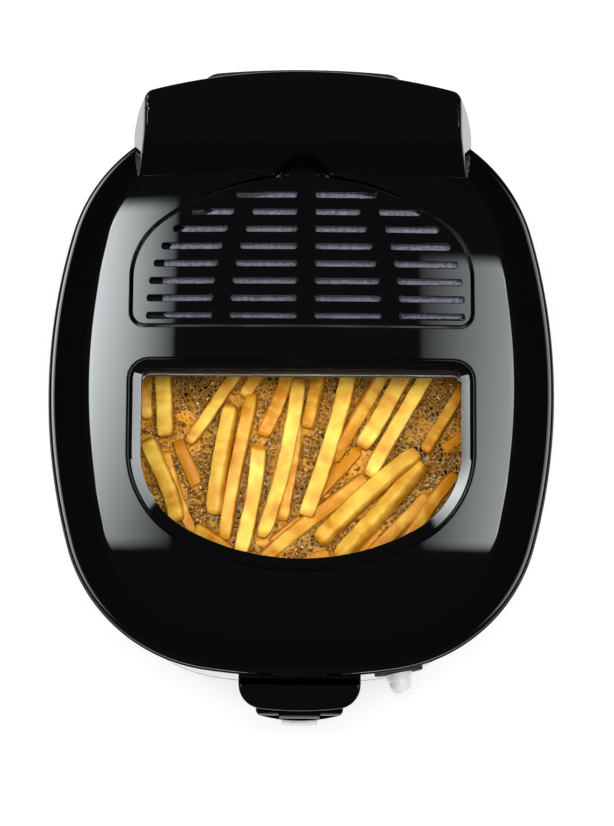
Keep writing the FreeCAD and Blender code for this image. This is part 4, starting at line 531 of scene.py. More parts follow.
foot_line = hood_foot()
print("hood's foot lies at y", foot_line[:, 1].min().round(1), "to", foot_line[:, 1].max().round(1))

# %% Whole lid
RECESS_RADIUS, RECESS_PLACE, RECESS_FLOOR = 19.5, 104.0, 190.3
RECESS_DISH, RECESS_DISH_SHIFT, RECESS_WALL, RECESS_BLEND = 260, 6, 14, 1.2
LID_EASE = 0.6


def eased_drop(gap, radius):
    """How far a rounded edge has fallen at a distance from it: a quarter circle."""
    near = np.clip(gap, 0, radius)
    return radius - np.sqrt(radius ** 2 - (radius - near) ** 2)


def lid_height(x, y):
    """The higher of dome and hood, less the finger recess, which is a dish with steep walls, and the eased
    edges of both openings."""
    plan = np.stack([x, y], 1)
    wall = RIM + inside_by(plan, hood_wall_loop) * HOOD_DRAFT
    raised = soft_min(hood_profile(y), wall, HOOD_EDGE_BLEND)
    height = -soft_min(-dome(x, y), -raised, HOOD_FOOT_BLEND)
    reach = np.hypot(x, y - RECESS_PLACE) - RECESS_RADIUS
    dish = (x ** 2 + (y - RECESS_PLACE + RECESS_DISH_SHIFT) ** 2) / RECESS_DISH
    recess = RECESS_FLOOR + dish + np.maximum(reach, 0) * RECESS_WALL
    height = soft_min(height, recess, RECESS_BLEND)
    for loop in (opening_loop, window_loop):
        height = height - eased_drop(-inside_by(plan, loop), LID_EASE)
    return height


print("lid's height at the middle:", lid_height(np.zeros(1), np.array([19.0]))[0].round(2), "mm")

# %% [markdown]
# ## Skins
# A thin moulding with holes is a flat region of triangles lifted to its height. A grid with holes cut by a
# Boolean would leave ragged edges, so the outlines themselves are kept as edges of the triangles. The
# normals come from the height function, which keeps reflections smooth whatever the triangles are.

# %% Triangles over a region


def region(loops, extra, keep, clear=1.2):
    """Constrained triangles over a region: outlines are kept as edges, a test on the middles picks faces, and
    no free point lies close to an outline."""
    points, edges, start = [], [], 0
    for loop in loops:
        index = np.arange(len(loop)) + start
        points.append(loop)
        edges.append(np.stack([index, np.roll(index, -1)], 1))
        start += len(loop)
    outlines = np.concatenate(points)
    near = [np.linalg.norm(part[:, None] - outlines, axis=2).min(1) for part in np.array_split(extra, 40)]
    points.append(extra[np.concatenate(near) > clear])
    flat = [Vector(p) for p in np.concatenate(points).tolist()]
    made = geometry.delaunay_2d_cdt(flat, np.concatenate(edges).tolist(), [], 0, 1e-4)
    plan, faces = np.array([tuple(p) for p in made[0]]), np.array(made[2])
    faces = faces[keep(plan[faces].mean(1))]
    used, faces = np.unique(faces, return_inverse=True)
    faces = faces.reshape(-1, 3)
    plan = plan[used]
    a, b, c = plan[faces[:, 0]], plan[faces[:, 1]], plan[faces[:, 2]]
    turn = (b - a)[:, 0] * (c - a)[:, 1] - (b - a)[:, 1] * (c - a)[:, 0]
    faces[turn < 0] = faces[turn < 0][:, ::-1]
    return plan, faces[np.abs(turn) > 1e-9]


def grid_points(half_x, low_y, high_y, step):
    """A regular field of points, alternate rows shifted by half a step."""
    x, y = np.meshgrid(np.arange(-half_x, half_x, step), np.arange(low_y, high_y, step * 0.87))
    x = x + (np.arange(len(x)) % 2)[:, None] * step / 2
    return np.stack([x.ravel(), y.ravel()], 1)


print("points in a small field:", len(grid_points(5, 0, 10, 1.0)))

# %% Normals and thickness


def slope_normals(height, plan, step=0.03):
    """Normals of a height function, from its central differences."""
    x, y = plan[:, 0], plan[:, 1]
    dx = (height(x + step, y) - height(x - step, y)) / (2 * step)
    dy = (height(x, y + step) - height(x, y - step)) / (2 * step)
    return unit(np.stack([-dx, -dy, np.ones(len(plan))], 1))


def thicken(verts, faces, normals, wall, straight_down=False):
    """Close a skin into a plate: the skin, a copy set back by the wall, and a band along every open edge."""
    count = len(verts)
    drop = np.array([0, 0, 1.0]) if straight_down else normals
    back = verts - wall * drop
    edges = np.concatenate([faces[:, [0, 1]], faces[:, [1, 2]], faces[:, [2, 0]]])
    key = np.sort(edges, 1)
    _, place, times = np.unique(key, axis=0, return_index=True, return_counts=True)
    rim = edges[place[times == 1]]
    band = np.stack([rim[:, 1], rim[:, 0], rim[:, 0] + count, rim[:, 1] + count], 1)
    every = np.concatenate([verts, back])
    side = unit(np.cross(every[band[:, 1]] - every[band[:, 0]], every[band[:, 3]] - every[band[:, 0]]))
    corner = np.concatenate([normals[faces].reshape(-1, 3), -normals[faces[:, ::-1]].reshape(-1, 3),
                             np.repeat(side, 4, 0)])
    return every, list(faces) + list(faces[:, ::-1] + count) + list(band), corner


def circle_points(count):
    """Points round a circle of radius one."""
    angle = np.linspace(0, 2 * math.pi, count, endpoint=False)
    return np.stack([np.cos(angle), np.sin(angle)], 1)


print("steps round a hole:", len(circle_points(24)))

# %% [markdown]
# ## The lid
# The top is a skin with two holes. On the real lid a small bead and an upright band run round below the
# shoulder. A bevel on the skin's edge could stand for them, but a profile carried round the outline gives
# their fine, even edge, so the lip is a mesh of its own.

# %% Lid skin
RING_INSET, LID_PLATE = 26.0, 2.0
OPENING_STEPS = (0, 0.08, 0.25, 0.55, 0.75)
outline, outline_out = lid_outline(2.2)


def lid_skin():
    """The crown and hood as one triangulated plate with the cover's and the window's openings. Rows of points
    lie close together wherever the height bends."""
    loops = [outline - RING_INSET * outline_out, outline - (RING_INSET + 4) * outline_out]
    hood_steps = (0, 0.7, 1.5, 2.3, 3.1, 3.9, 4.6, 5.3, 6.0, 6.8, 8.0, 10.0)
    loops += [hood_loop - step * hood_out for step in hood_steps]
    loops += [opening_loop + step * cover_out for step in OPENING_STEPS]
    loops += [window_loop + step * pane_out for step in OPENING_STEPS]
    for step in (0.03, 0.1, 0.4, 1.5):
        loops.append(np.concatenate([foot_line - [0, step], foot_line[::-1] + [0, step]]))
    ring = circle_points(90)
    loops += [[0, RECESS_PLACE] + (RECESS_RADIUS + step) * ring for step in (-3, 0, 0.3, 0.7, 1.2, 1.9, 3.0)]

    def keep(middle):
        """On the lid or on the hood, and in neither opening."""
        on_lid = lid_inset(middle[:, 0], middle[:, 1]) > RING_INSET
        on_hood = (inside_by(middle, hood_loop) > 0) & (middle[:, 1] > HOOD_FRONT - 16)
        hole = (inside_by(middle, opening_loop) > 0) | (inside_by(middle, window_loop) > 0)
        return (on_lid | on_hood) & ~hole

    field = np.concatenate([grid_points(118, -134, 96, 5.0), grid_points(94, 96, 164, 2.0)])
    plan, faces = region(loops, field, keep)
    normals = slope_normals(lid_height, plan)
    return thicken(at_level(plan, lid_height(plan[:, 0], plan[:, 1])), faces, normals, LID_PLATE)


lid = add_mesh("lid", *lid_skin())
print("lid faces:", len(lid.data.polygons))

# %% Lid lip
BEAD_REACH, BEAD_HALF, LIP_EDGE = 0.75, 0.8, 1.5
SHOULDER_STEPS = (6, 10, 14, 16.5, 17.5, 18.3, 19, 19.6, 20.2, 20.8, 21.5, 22.4, 23.6, RING_INSET)


def lid_lip():
    """A band round the lid: inner wall, foot, bead, upright lip, rounded edge and steep shoulder, and back
    along the underside."""
    bead = np.linspace(-math.pi / 2, math.pi / 2, 7)
    swell = np.stack([-0.05 - BEAD_REACH * np.cos(bead), RIM + 0.85 + BEAD_HALF * np.sin(bead)], 1)
    turn = np.linspace(0, math.pi / 2, 7)
    fold = np.stack([LIP_EDGE * (1 - np.cos(turn)), LEDGE_LEVEL - LIP_EDGE + LIP_EDGE * np.sin(turn)], 1)
    inner = [[3.6, LEDGE_LEVEL - 1], [2.8, RIM + 0.6], [2.4, RIM]]
    profile = np.concatenate([inner, swell, [[0.0, RIM + 2.0]], fold, [[LEDGE_INSET, LEDGE_LEVEL]]])
    rows = [at_level(outline - inset * outline_out, level) for inset, level in profile]
    for inset in SHOULDER_STEPS:
        plan = outline - inset * outline_out
        rows.append(at_level(plan, dome(plan[:, 0], plan[:, 1])))
    for inset in (RING_INSET, 15.0, 3.6):
        plan = outline - inset * outline_out
        rows.append(at_level(plan, np.maximum(dome(plan[:, 0], plan[:, 1]) - LID_PLATE, LEDGE_LEVEL - 1)))
    return strip(rows)


lip = crisp(add_mesh("lid_lip", *lid_lip()), 40)
print("lip faces:", len(lip.data.polygons))

# %% Tubes and blocks


def tube(start, end, radius, sides=28, bore=0.0):
    """A closed cylinder between two points, or a ring if it has a bore."""
    start, end = np.asarray(start, float), np.asarray(end, float)
    axis = unit(end - start)
    first = unit(np.cross(axis, [0, 0, 1.0] if abs(axis[2]) < 0.9 else [1.0, 0, 0]))
    second = np.cross(axis, first)
    angle = np.linspace(0, 2 * math.pi, sides, endpoint=False)[:, None]
    ring = np.cos(angle) * first + np.sin(angle) * second
    inner = max(bore, 0.001)
    rows = [start + inner * ring, start + radius * ring, end + radius * ring, end + inner * ring]
    if bore:
        rows.append(rows[0])
    return strip(rows)


def slab(low, high):
    """A plain block between two corners."""
    x0, y0, z0 = low
    x1, y1, z1 = high
    plan = ((x0, y0), (x1, y0), (x1, y1), (x0, y1))
    verts = np.array([[x, y, z] for z in (z0, z1) for x, y in plan], float)
    faces = [(3, 2, 1, 0), (4, 5, 6, 7), (0, 1, 5, 4), (1, 2, 6, 5), (2, 3, 7, 6), (3, 0, 4, 7)]
    return verts, faces


print("faces of a block:", len(slab((0, 0, 0), (1, 1, 1))[1]))

# %% Hinge knuckles
KNUCKLE_NEAR, KNUCKLE_FAR, KNUCKLE_RADIUS, KNUCKLE_BORE = 26.0, 40.0, 6.8, 2.5
HINGE_Y, HINGE_Z = 171, 176
KNUCKLE_BLOCK_LOW, KNUCKLE_BLOCK_HIGH = (161.5, 173.5), (168.3, 182.8)


def lid_knuckles():
    """On each side a ring round the hinge rod and a block that joins it to the lid."""
    parts = []
    for side in (-1, 1):
        near, far = KNUCKLE_NEAR * side, KNUCKLE_FAR * side
        ends = [(x, HINGE_Y, HINGE_Z) for x in (near, far)]
        parts.append(tube(*ends, KNUCKLE_RADIUS, bore=KNUCKLE_BORE))
        left, right = sorted((near, far))
        parts.append(slab((left, *KNUCKLE_BLOCK_LOW), (right, *KNUCKLE_BLOCK_HIGH)))
    return join(*parts)


hinge = crisp(add_mesh("lid_knuckles", *lid_knuckles()))
print("knuckle faces:", len(hinge.data.polygons))

# %% Rear panel
PANEL_START, PANEL_REACH, PANEL_WALL = 137, 163.6, 2.0


def hood_panel():
    """The hood's upright rear panel: the rear arch of the plan, low and high, closed to a thin plate."""
    rear = hood_loop[:, 1] > PANEL_START
    outer, inner = [(hood_loop - inset * hood_out)[rear] for inset in (1.0, 1.0 + PANEL_WALL)]
    outer[:, 1] = np.minimum(outer[:, 1], PANEL_REACH)
    inner[:, 1] = np.minimum(inner[:, 1], PANEL_REACH - PANEL_WALL)
    top = np.minimum(*[lid_height(plan[:, 0], plan[:, 1]) for plan in (outer, inner)]) - 1.6
    low = RIM + 0.2
    rows = [(outer, low), (outer, top), (inner, top), (inner, low), (outer, low)]
    return strip([at_level(plan, level) for plan, level in rows], closed=False)


panel = crisp(add_mesh("hood_panel", *hood_panel()))
for piece in (lid, lip, hinge, panel):
    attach(dress(piece, "gloss_black"), "lid")
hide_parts("lid_shell")
print("panel faces:", len(panel.data.polygons))

# %% [markdown]
# ## The filter cover
# The cover closes the filter's space and carries on the crown's curve. Its slots are moulded with small
# round corners and eased edges, and three bars run through their rows. A Boolean could cut them. As
# outlines of one skin, each slot has clean edges that catch the light.

# %% Slots
SLOT_HALF, SLOT_CORNER, SLOT_SHIFT = 1.65, 1.3, 2.1
SLOT_ROWS, SLOT_START, SLOT_PITCH = 8, 35.8, 9.79
MIDDLE_BAR, SIDE_BAR, SIDE_BAR_PLACE, SIDE_BAR_CURVE = 5.25, 10.8, 41.0, 0.325
SLOT_REACH, SLOT_DEPTH, SLOT_POWER, LAST_REACH = 86.7, 75.9, 2.4, 38.5


def slot_list():
    """Left end, right end and row of every slot. The middle bar is straight, the side bars curve inwards with
    the square of the row, and the outer ends follow an oval of a power above two. The last row has one slot
    on each side."""
    slots = []
    for row in range(SLOT_ROWS):
        y = SLOT_START + SLOT_PITCH * row
        if row < SLOT_ROWS - 1:
            bar = SIDE_BAR_PLACE - SIDE_BAR_CURVE * row ** 2
            reach = SLOT_REACH * (1 - (SLOT_PITCH * row / SLOT_DEPTH) ** SLOT_POWER) ** (1 / SLOT_POWER)
            spans = [(MIDDLE_BAR, bar), (bar + SIDE_BAR, reach)]
        else:
            spans = [(MIDDLE_BAR, LAST_REACH)]
        for left, right in spans:
            slots += [(left + SLOT_SHIFT, right + SLOT_SHIFT, y), (SLOT_SHIFT - right, SLOT_SHIFT - left, y)]
    return np.array(slots)


SLOTS = slot_list()


def slot_gap(x, y):
    """Distance from points to the nearest slot, positive outside it; a slot is a box with round corners."""
    middle, half = (SLOTS[:, 0] + SLOTS[:, 1]) / 2, (SLOTS[:, 1] - SLOTS[:, 0]) / 2
    across = np.abs(x[:, None] - middle) - half + SLOT_CORNER
    along = np.abs(y[:, None] - SLOTS[:, 2]) - SLOT_HALF + SLOT_CORNER
    outside = np.hypot(np.maximum(across, 0), np.maximum(along, 0))
    return (outside + np.minimum(np.maximum(across, along), 0) - SLOT_CORNER).min(1)


def slot_loop(slot, grow):
    """One slot's outline: a quarter turn about the centre of each corner, moved out by a growth."""
    left, right, row = slot
    low, high = row - SLOT_HALF + SLOT_CORNER, row + SLOT_HALF - SLOT_CORNER
    near, far = left + SLOT_CORNER, right - SLOT_CORNER
    loop = []
    for centre, start in (((far, low), -90), ((far, high), 0), ((near, high), 90), ((near, low), 180)):
        turn = np.radians(np.linspace(start, start + 90, 5))
        loop.append(centre + (SLOT_CORNER + grow) * np.stack([np.cos(turn), np.sin(turn)], 1))
    return np.concatenate(loop)


print("slots:", len(SLOTS))

# %% Filter cover
TAB_HALF_WIDTH, TAB_REACH, TAB_CORNER = 10.2, 5.9, 1.6
COVER_EASE, COVER_PLATE = 0.45, 2.3
COVER_PIN_NEAR, COVER_PIN_FAR, COVER_PIN_Y, COVER_PIN_Z, COVER_PIN_RADIUS = 88.0, 94.4, 36, 199.22, 1.0


def cover_with_tab():
    """The cover's outline with its finger tab at the rear, which rises steeply at both ends."""
    loop = cover_loop.copy()
    rear = (np.abs(loop[:, 0]) < TAB_HALF_WIDTH) & (loop[:, 1] > 100)
    loop[rear, 1] += TAB_REACH * np.clip((TAB_HALF_WIDTH - np.abs(loop[rear, 0])) / TAB_CORNER, 0, 1) ** 0.4
    return loop


tab_loop = cover_with_tab()


def cover_height(x, y):
    """The crown, eased down by a small radius at the outline and at every slot."""
    edge = np.minimum(inside_by(np.stack([x, y], 1), tab_loop), slot_gap(x, y))
    return crown(x, y) - eased_drop(edge, COVER_EASE)


def cover_skin():
    """The slotted plate, with rows of points close together at every edge."""
    loops = [tab_loop] + [cover_loop - step * cover_out for step in (0.06, 0.18, 0.5, 1.3)]
    loops += [slot_loop(slot, grow) for slot in SLOTS for grow in (0, 0.06, 0.18, 0.42, 0.6)]

    def keep(middle):
        """Inside the outline and outside every slot."""
        return (inside_by(middle, tab_loop) > 0) & (slot_gap(middle[:, 0], middle[:, 1]) > 0)

    plan, faces = region(loops, grid_points(92, 33, 119, 5.0), keep)
    verts = at_level(plan, cover_height(plan[:, 0], plan[:, 1]))
    return thicken(verts, faces, slope_normals(cover_height, plan), COVER_PLATE, straight_down=True)


cover = add_mesh("cover", *cover_skin())
pin_parts = []
for side in (-1, 1):
    pin_ends = [(x * side, COVER_PIN_Y, COVER_PIN_Z) for x in (COVER_PIN_NEAR, COVER_PIN_FAR)]
    pin_parts.append(tube(*pin_ends, COVER_PIN_RADIUS, 16))
pins = crisp(add_mesh("cover_pins", *join(*pin_parts)))
for piece in (cover, pins):
    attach(dress(piece, "gloss_black"), "cover")
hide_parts("filter_cover")
print("cover faces:", len(cover.data.polygons))

# %% [markdown]
# ## The felt mat
# A pale felt mat catches grease under the slots. Cloth simulation would only make it sag, and the real mat
# lies flat in its tray, so it is a pad of rings with a slightly uneven top and a brim over the tray's edge.

# %% Felt mat
FELT = (81.5, 38.0, 105.0, 3.0, 34.0, 140.0)
FELT_SHIFT, FELT_MIDDLE, FELT_TOP = 5.0, np.array([5.0, 70.0]), 195.8
FELT_BRIM_SHIFT, FELT_BRIM_SIDE, FELT_BRIM_FRONT, FELT_BRIM_REAR = np.array([1.2, 0.0]), 1.015, 1.068, 1.1


def felt_pad():
    """Rings of the outline, drawn towards the middle by a share: up the wall, over the brim, and across the
    top with two crossed waves and a fine random nap."""
    loop = d_outline(*FELT, 2.5)[0] + [FELT_SHIFT, 0.0]
    spread = loop - FELT_MIDDLE
    wall = ((0.02, 187.6), (0.5, 187.6), (0.985, 187.6), (1.0, 188.6), (1.0, 193.4), (1.0, 195.0))
    rows = [at_level(FELT_MIDDLE + share * spread, level) for share, level in wall]
    brim = np.full(loop.shape, FELT_BRIM_SIDE)
    brim[:, 1] = np.where(spread[:, 1] < 0, FELT_BRIM_FRONT, FELT_BRIM_REAR)
    rows.append(at_level(FELT_MIDDLE + FELT_BRIM_SHIFT + brim * spread, 195.1))
    for share in np.linspace(0.99, 0.02, 26):
        plan = FELT_MIDDLE + FELT_BRIM_SHIFT + share * brim * spread
        wave = 0.25 * np.sin(plan[:, 0] * 0.21) * np.sin(plan[:, 1] * 0.17 + 1)
        rows.append(at_level(plan, FELT_TOP + (wave + 0.12 * rng.standard_normal(len(plan)))))
    return strip(rows)


felt = add_mesh("felt_mat", *felt_pad())
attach(dress(felt, "felt"), "lid")
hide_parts("filter_mat")
print("felt faces:", len(felt.data.polygons))

# %% [markdown]
# ## The window's frame
# A sloped frame holds the pane below the crown, and a thin black ring lines the hole in the liner under it.
# A bevelled curve would give one section all round. Rows round the window let the rear edge be narrower,
# and let the rear lip lean back so that it doesn't hide the food.

# %% Window frame
PANE_TOP, SEAT_LEVEL = CROWN_TOP - 11.0, 178.4
TRIM_LOW, TRIM_OUTER, TRIM_INNER = 176.9, -0.05, -0.6


def bezel_rows():
    """Rows round the window, each the pane's outline moved out by one amount at the sides and another at the
    rear: first the outer wall, the narrow edge on the crown, a short step down and a gentle slope, whose
    heights are measured from the crown, then the lip, the pane's seat and the foot at their own levels."""
    on_crown = [(5.8, 5.0, -0.3), (5.7, 4.9, 0.15), (5.4, 4.6, 0.3), (5.0, 4.2, 0.25), (4.7, 3.9, 0.0),
                (4.5, 3.7, -0.4), (4.2, 3.5, -1.2), (4.0, 3.3, -1.6)]
    slope = np.linspace(0, 1, 7)[1:]
    on_crown += [(4.0 - 5.2 * share, 3.3 - 3.6 * share, -1.6 - 1.5 * share) for share in slope]
    on_crown.append((-1.3, -0.4, -3.4))
    below = [(-1.3, 1.8, PANE_TOP), (2.0, 4.4, PANE_TOP), (2.0, 4.4, SEAT_LEVEL), (5.8, 5.0, SEAT_LEVEL)]
    rows = [at_level(grown_pane(5.8, 5.0), SEAT_LEVEL)]
    for grow, rear, drop in on_crown:
        plan = grown_pane(grow, rear)
        rows.append(at_level(plan, crown(plan[:, 0], plan[:, 1]) + drop))
    return rows + [at_level(grown_pane(grow, rear), level) for grow, rear, level in below]


def trim_rows():
    """A thin ring that lines the steel edge of the window's hole in the lid's liner: an oblong section."""
    section = ((TRIM_OUTER, TRIM_LOW), (TRIM_OUTER, SEAT_LEVEL), (TRIM_INNER, SEAT_LEVEL),
               (TRIM_INNER, TRIM_LOW), (TRIM_OUTER, TRIM_LOW))
    return [at_level(grown_pane(grow, grow), level) for grow, level in section]


bezel = crisp(add_mesh("window_frame", *strip(bezel_rows())), 50)
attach(dress(bezel, "gloss_black"), "lid")
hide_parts("window_bezel")
trim = crisp(add_mesh("window_trim", *strip(trim_rows())))
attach(dress(trim, "matte_black"), "lid")
print("frame and trim faces:", len(bezel.data.polygons), len(trim.data.polygons))

# %% [markdown]
# ## The steel jacket
# The body is a steel sheet bent round the oval, with openings for the grips, the dial and the pilot light.
# Booleans on a closed wall are fragile, so it is made as a sheet worker would: unrolled, distance round the
# outline is one axis and height the other. The openings are cut there, and the sheet is rolled up.

# %% Unrolled wall
JACKET_LOW, JACKET_HIGH, JACKET_WALL = 10.0, 152.0, 1.0
JACKET_LOW_INSET, JACKET_HIGH_INSET, JACKET_LEAN = 9.0, 7.0, -0.014
jacket_outline, jacket_out = lid_outline(3.0)
round_steps = np.linalg.norm(np.roll(jacket_outline, -1, 0) - jacket_outline, axis=1)
round_place = np.concatenate([[0], np.cumsum(round_steps)])
ROUND = round_place[-1]


def roll_up(plan):
    """From distance round and height back to a point on the drafted wall, with its outward direction."""
    place = plan[:, 0] % ROUND
    wrapped = np.concatenate([jacket_outline, jacket_outline[:1]])
    facing = np.concatenate([jacket_out, jacket_out[:1]])
    xy = np.stack([np.interp(place, round_place, wrapped[:, axis]) for axis in (0, 1)], 1)
    out = unit(np.stack([np.interp(place, round_place, facing[:, axis]) for axis in (0, 1)], 1))
    share = (plan[:, 1] - JACKET_LOW) / (JACKET_HIGH - JACKET_LOW)
    inset = JACKET_LOW_INSET + (JACKET_HIGH_INSET - JACKET_LOW_INSET) * share
    return np.column_stack([xy - inset[:, None] * out, plan[:, 1]]), unit(at_level(out, JACKET_LEAN))


def nearest_step(x, y):
    """Which step round the outline lies nearest to a place."""
    return np.argmin(np.hypot(jacket_outline[:, 0] - x, jacket_outline[:, 1] - y))


print("round the jacket:", ROUND.round(1), "mm")

# %% Steel jacket
SIDE_GRIP_HALF_WIDTH, SIDE_GRIP_LOW, SIDE_GRIP_HIGH = 44.5, 108.8, 135.2
DIAL_X, DIAL_Y, DIAL_LEVEL, DIAL_HOLE = 58.0, -153.0, 88.0, 4.0
PILOT_LEVEL, PILOT_HOLE = 62.0, 3.8
SEAM_PLACE = -50.0


def jacket_sheet():
    """The wall with two oblong and two round openings."""
    holes = []
    for x in (HALF_WIDTH, -HALF_WIDTH):
        u = round_place[nearest_step(x, 0.0)] + SIDE_GRIP_HALF_WIDTH * np.array([-1, 1, 1, -1])
        z = np.array([SIDE_GRIP_LOW, SIDE_GRIP_LOW, SIDE_GRIP_HIGH, SIDE_GRIP_HIGH])
        holes.append(np.stack([u, z], 1))
    dial_place = round_place[nearest_step(DIAL_X, DIAL_Y)]
    for level, radius in ((DIAL_LEVEL, DIAL_HOLE), (PILOT_LEVEL, PILOT_HOLE)):
        holes.append([dial_place, level] + radius * circle_points(24))
    end_place = ROUND + SEAM_PLACE
    holes = [hole - [ROUND if hole[:, 0].mean() > end_place else 0, 0] for hole in holes]
    u = np.linspace(SEAM_PLACE, end_place, 320)
    border = np.concatenate([at_level(u, JACKET_LOW), at_level(u[::-1], JACKET_HIGH)])
    columns, levels = np.meshgrid(u, np.linspace(JACKET_LOW, JACKET_HIGH, 14)[1:-1])
    field = np.stack([columns.ravel(), levels.ravel()], 1)

    def keep(middle):
        """In none of the openings."""
        return ~np.any([inside_by(middle, hole) > 0 for hole in holes], axis=0)

    plan, faces = region([border, *holes], field, keep)
    verts, normals = roll_up(plan)
    return thicken(verts, faces, normals, JACKET_WALL)


jacket = add_mesh("jacket", *jacket_sheet())
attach(dress(jacket, "body_steel"), "base")
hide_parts("outer_jacket")
print("jacket faces:", len(jacket.data.polygons))

# %% [markdown]
# ## The folding handle
# A nose in front of the lid is fixed to the basket and carries the grip on a pin, so that the grip can fold
# up. Both could be bevelled cubes. Rings of a D-shape at several levels give the bowed front and the soft
# edges in one go, and the knuckles round the pin are tubes.

# %% Handle helpers


def d_rows(levels, half_width, flat, tip, corner, shoulder, arch, thinner=0.0):
    """Rows of one D-shape at (level, narrower, inset) steps, closed at both ends by a small last row. Insets
    leave the flat side where it is. Towards the lowest level the shape gets thinner, up to that side."""
    loop, out = d_outline(half_width, flat, tip, corner, shoulder, arch, 1.2)
    middle = np.array([0, (flat + tip) / 2])
    held = np.column_stack([out[:, 0], np.where(out[:, 1] * (flat - tip) > 0, 0, out[:, 1])])
    rows = []
    for level, narrower, inset in levels:
        plan = loop - inset * held
        plan[:, 0] *= 1 - narrower / half_width
        down = (levels[-1][0] - level) / (levels[-1][0] - levels[0][0])
        plan[:, 1] = flat + (plan[:, 1] - flat) * (1 - thinner * down / abs(tip - flat))
        rows.append(at_level(plan, level))
    ends = []
    for row in (rows[0], rows[-1]):
        for share in (0.96, 0.02):
            ends.append(row.copy())
            ends[-1][:, :2] = middle + share * (row[:, :2] - middle)
    return strip([ends[1], ends[0], *rows, ends[2], ends[3]])


def eased(low, high, edge, narrow_low, narrow_high):
    """Levels from low to high with a quarter circle at both ends; the width changes evenly between them."""
    turn = np.linspace(0, math.pi / 2, 6)
    fall, inset = edge * (1 - np.sin(turn)), edge * (1 - np.cos(turn))
    steps = list(zip(low + fall, inset))[::-1]
    steps += [(level, 0.0) for level in np.linspace(low + edge, high - edge, 8)[1:-1]]
    steps += list(zip(high - fall, inset))
    return [(level, narrow_low + (narrow_high - narrow_low) * (level - low) / (high - low), inset)
            for level, inset in steps]


print("levels in one eased block:", len(eased(0, 10, 1, 0, 0)))

# %% Nose and grip
PIN_PLACE_Y, PIN_PLACE_Z, PIN_BORE, GRIP_BORE = -172.2, 161.5, 2.48, 2.4
NOSE_TOP, NOSE_LOW, NOSE_HALF_WIDTH, NOSE_FLAT, NOSE_TIP = 176.0, 170.0, 33.5, -159.5, -177.1
NOSE_BRIM_HALF_WIDTH, NOSE_BRIM_LOW, NOSE_BRIM_FRONT, NOSE_BRIM_CLEAR = 33.2, 174.9, -163.0, 0.9
NOSE_KNUCKLE, NOSE_KNUCKLE_RADIUS = 11.0, 8.0
NOSE_WEB_LOW, NOSE_WEB_HIGH = (-29.0, -163.7, 149.0), (29.0, -160.1, 171.0)
NOSE_BLOCK_LOW, NOSE_BLOCK_HIGH = (-175.5, 163.5), (-163.5, 171.0)
GRIP_FLAT, GRIP_TIP, GRIP_HALF_WIDTH, GRIP_THINNER = -164.2, -180.9, 24.2, 6.5
GRIP_KNUCKLE_NEAR, GRIP_KNUCKLE_FAR, GRIP_KNUCKLE_RADIUS = 11.5, 22.45, 6.4
GRIP_LOW, GRIP_HIGH, GRIP_BLOCK_LOW, GRIP_BLOCK_HIGH = 55.5, 151.0, (-176.0, 148.0), (GRIP_FLAT, 157.0)


def nose_brim():
    """A thin edge on the nose; its rear follows the arc of the lid's front with a small clearance."""
    across = np.linspace(-NOSE_BRIM_HALF_WIDTH, NOSE_BRIM_HALF_WIDTH, 40)
    rear = -END_Y - np.sqrt((END_RADIUS + NOSE_BRIM_CLEAR) ** 2 - across ** 2)
    front = np.full(40, NOSE_BRIM_FRONT)
    low = NOSE_BRIM_LOW
    corners = [(rear, low), (rear, NOSE_TOP), (front, NOSE_TOP), (front, low), (rear, low)]
    return strip([at_level(np.stack([across, y], 1), z) for y, z in corners], closed=False)


def knuckle(left, right, radius, bore):
    """A ring round the handle's pin."""
    ends = [(x, PIN_PLACE_Y, PIN_PLACE_Z) for x in (left, right)]
    return tube(*ends, radius, 48, bore=bore)


nose_levels = eased(NOSE_LOW, NOSE_TOP, 1.6, 1.4, 0.0)
nose_parts = [
    nose_brim(),
    d_rows(nose_levels, NOSE_HALF_WIDTH, NOSE_FLAT, NOSE_TIP, 1.5, 13.0, 190.0),
    slab(NOSE_WEB_LOW, NOSE_WEB_HIGH),
    knuckle(-NOSE_KNUCKLE, NOSE_KNUCKLE, NOSE_KNUCKLE_RADIUS, PIN_BORE),
    slab((-NOSE_KNUCKLE, *NOSE_BLOCK_LOW), (NOSE_KNUCKLE, *NOSE_BLOCK_HIGH)),
]
grip_levels = eased(GRIP_LOW, GRIP_HIGH, 1.75, 5.0, 0.0)
grip_parts = [d_rows(grip_levels, GRIP_HALF_WIDTH, GRIP_FLAT, GRIP_TIP, 3.5, 3.5, 85.0, thinner=GRIP_THINNER)]
for side in (-1, 1):
    left, right = sorted((GRIP_KNUCKLE_NEAR * side, GRIP_KNUCKLE_FAR * side))
    grip_parts.append(knuckle(left, right, GRIP_KNUCKLE_RADIUS, GRIP_BORE))
    grip_parts.append(slab((left, *GRIP_BLOCK_LOW), (right, *GRIP_BLOCK_HIGH)))
nose = crisp(add_mesh("nose", *join(*nose_parts)), 40)
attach(dress(nose, "gloss_black"), "basket")
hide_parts("handle_bracket")
grip = crisp(add_mesh("grip", *join(*grip_parts)), 40)
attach(dress(grip, "gloss_black"), "handle")
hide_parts("handle_grip")
print("nose and grip faces:", len(nose.data.polygons), len(grip.data.polygons))

# %% [markdown]
# ## The thermostat knob
# A chrome knob sits on the front wall: a turned body with a domed face and a leaning grip bar. Blender's
# Screw modifier could turn it, but as arrays it can be laid straight along the wall's outward direction.

# %% Knob
KNOB_FOOT, KNOB_LEAN = np.array([56.89, -149.22, DIAL_LEVEL]), math.radians(40)
KNOB_PROFILE = [(0.01, 0.0), (7.6, 0.0), (7.6, 3.2), (7.4, 3.7), (6.9, 4.0), (6.8, 5.5), (6.5, 7.6),
                (6.0, 9.4), (5.2, 10.9), (4.0, 12.0), (2.4, 12.7), (0.01, 12.9)]
BAR_STEPS = ((0.02, 1.0), (1.0, 1.0), (1.0, 9.4), (0.95, 9.9), (0.86, 10.2), (0.02, 10.2))


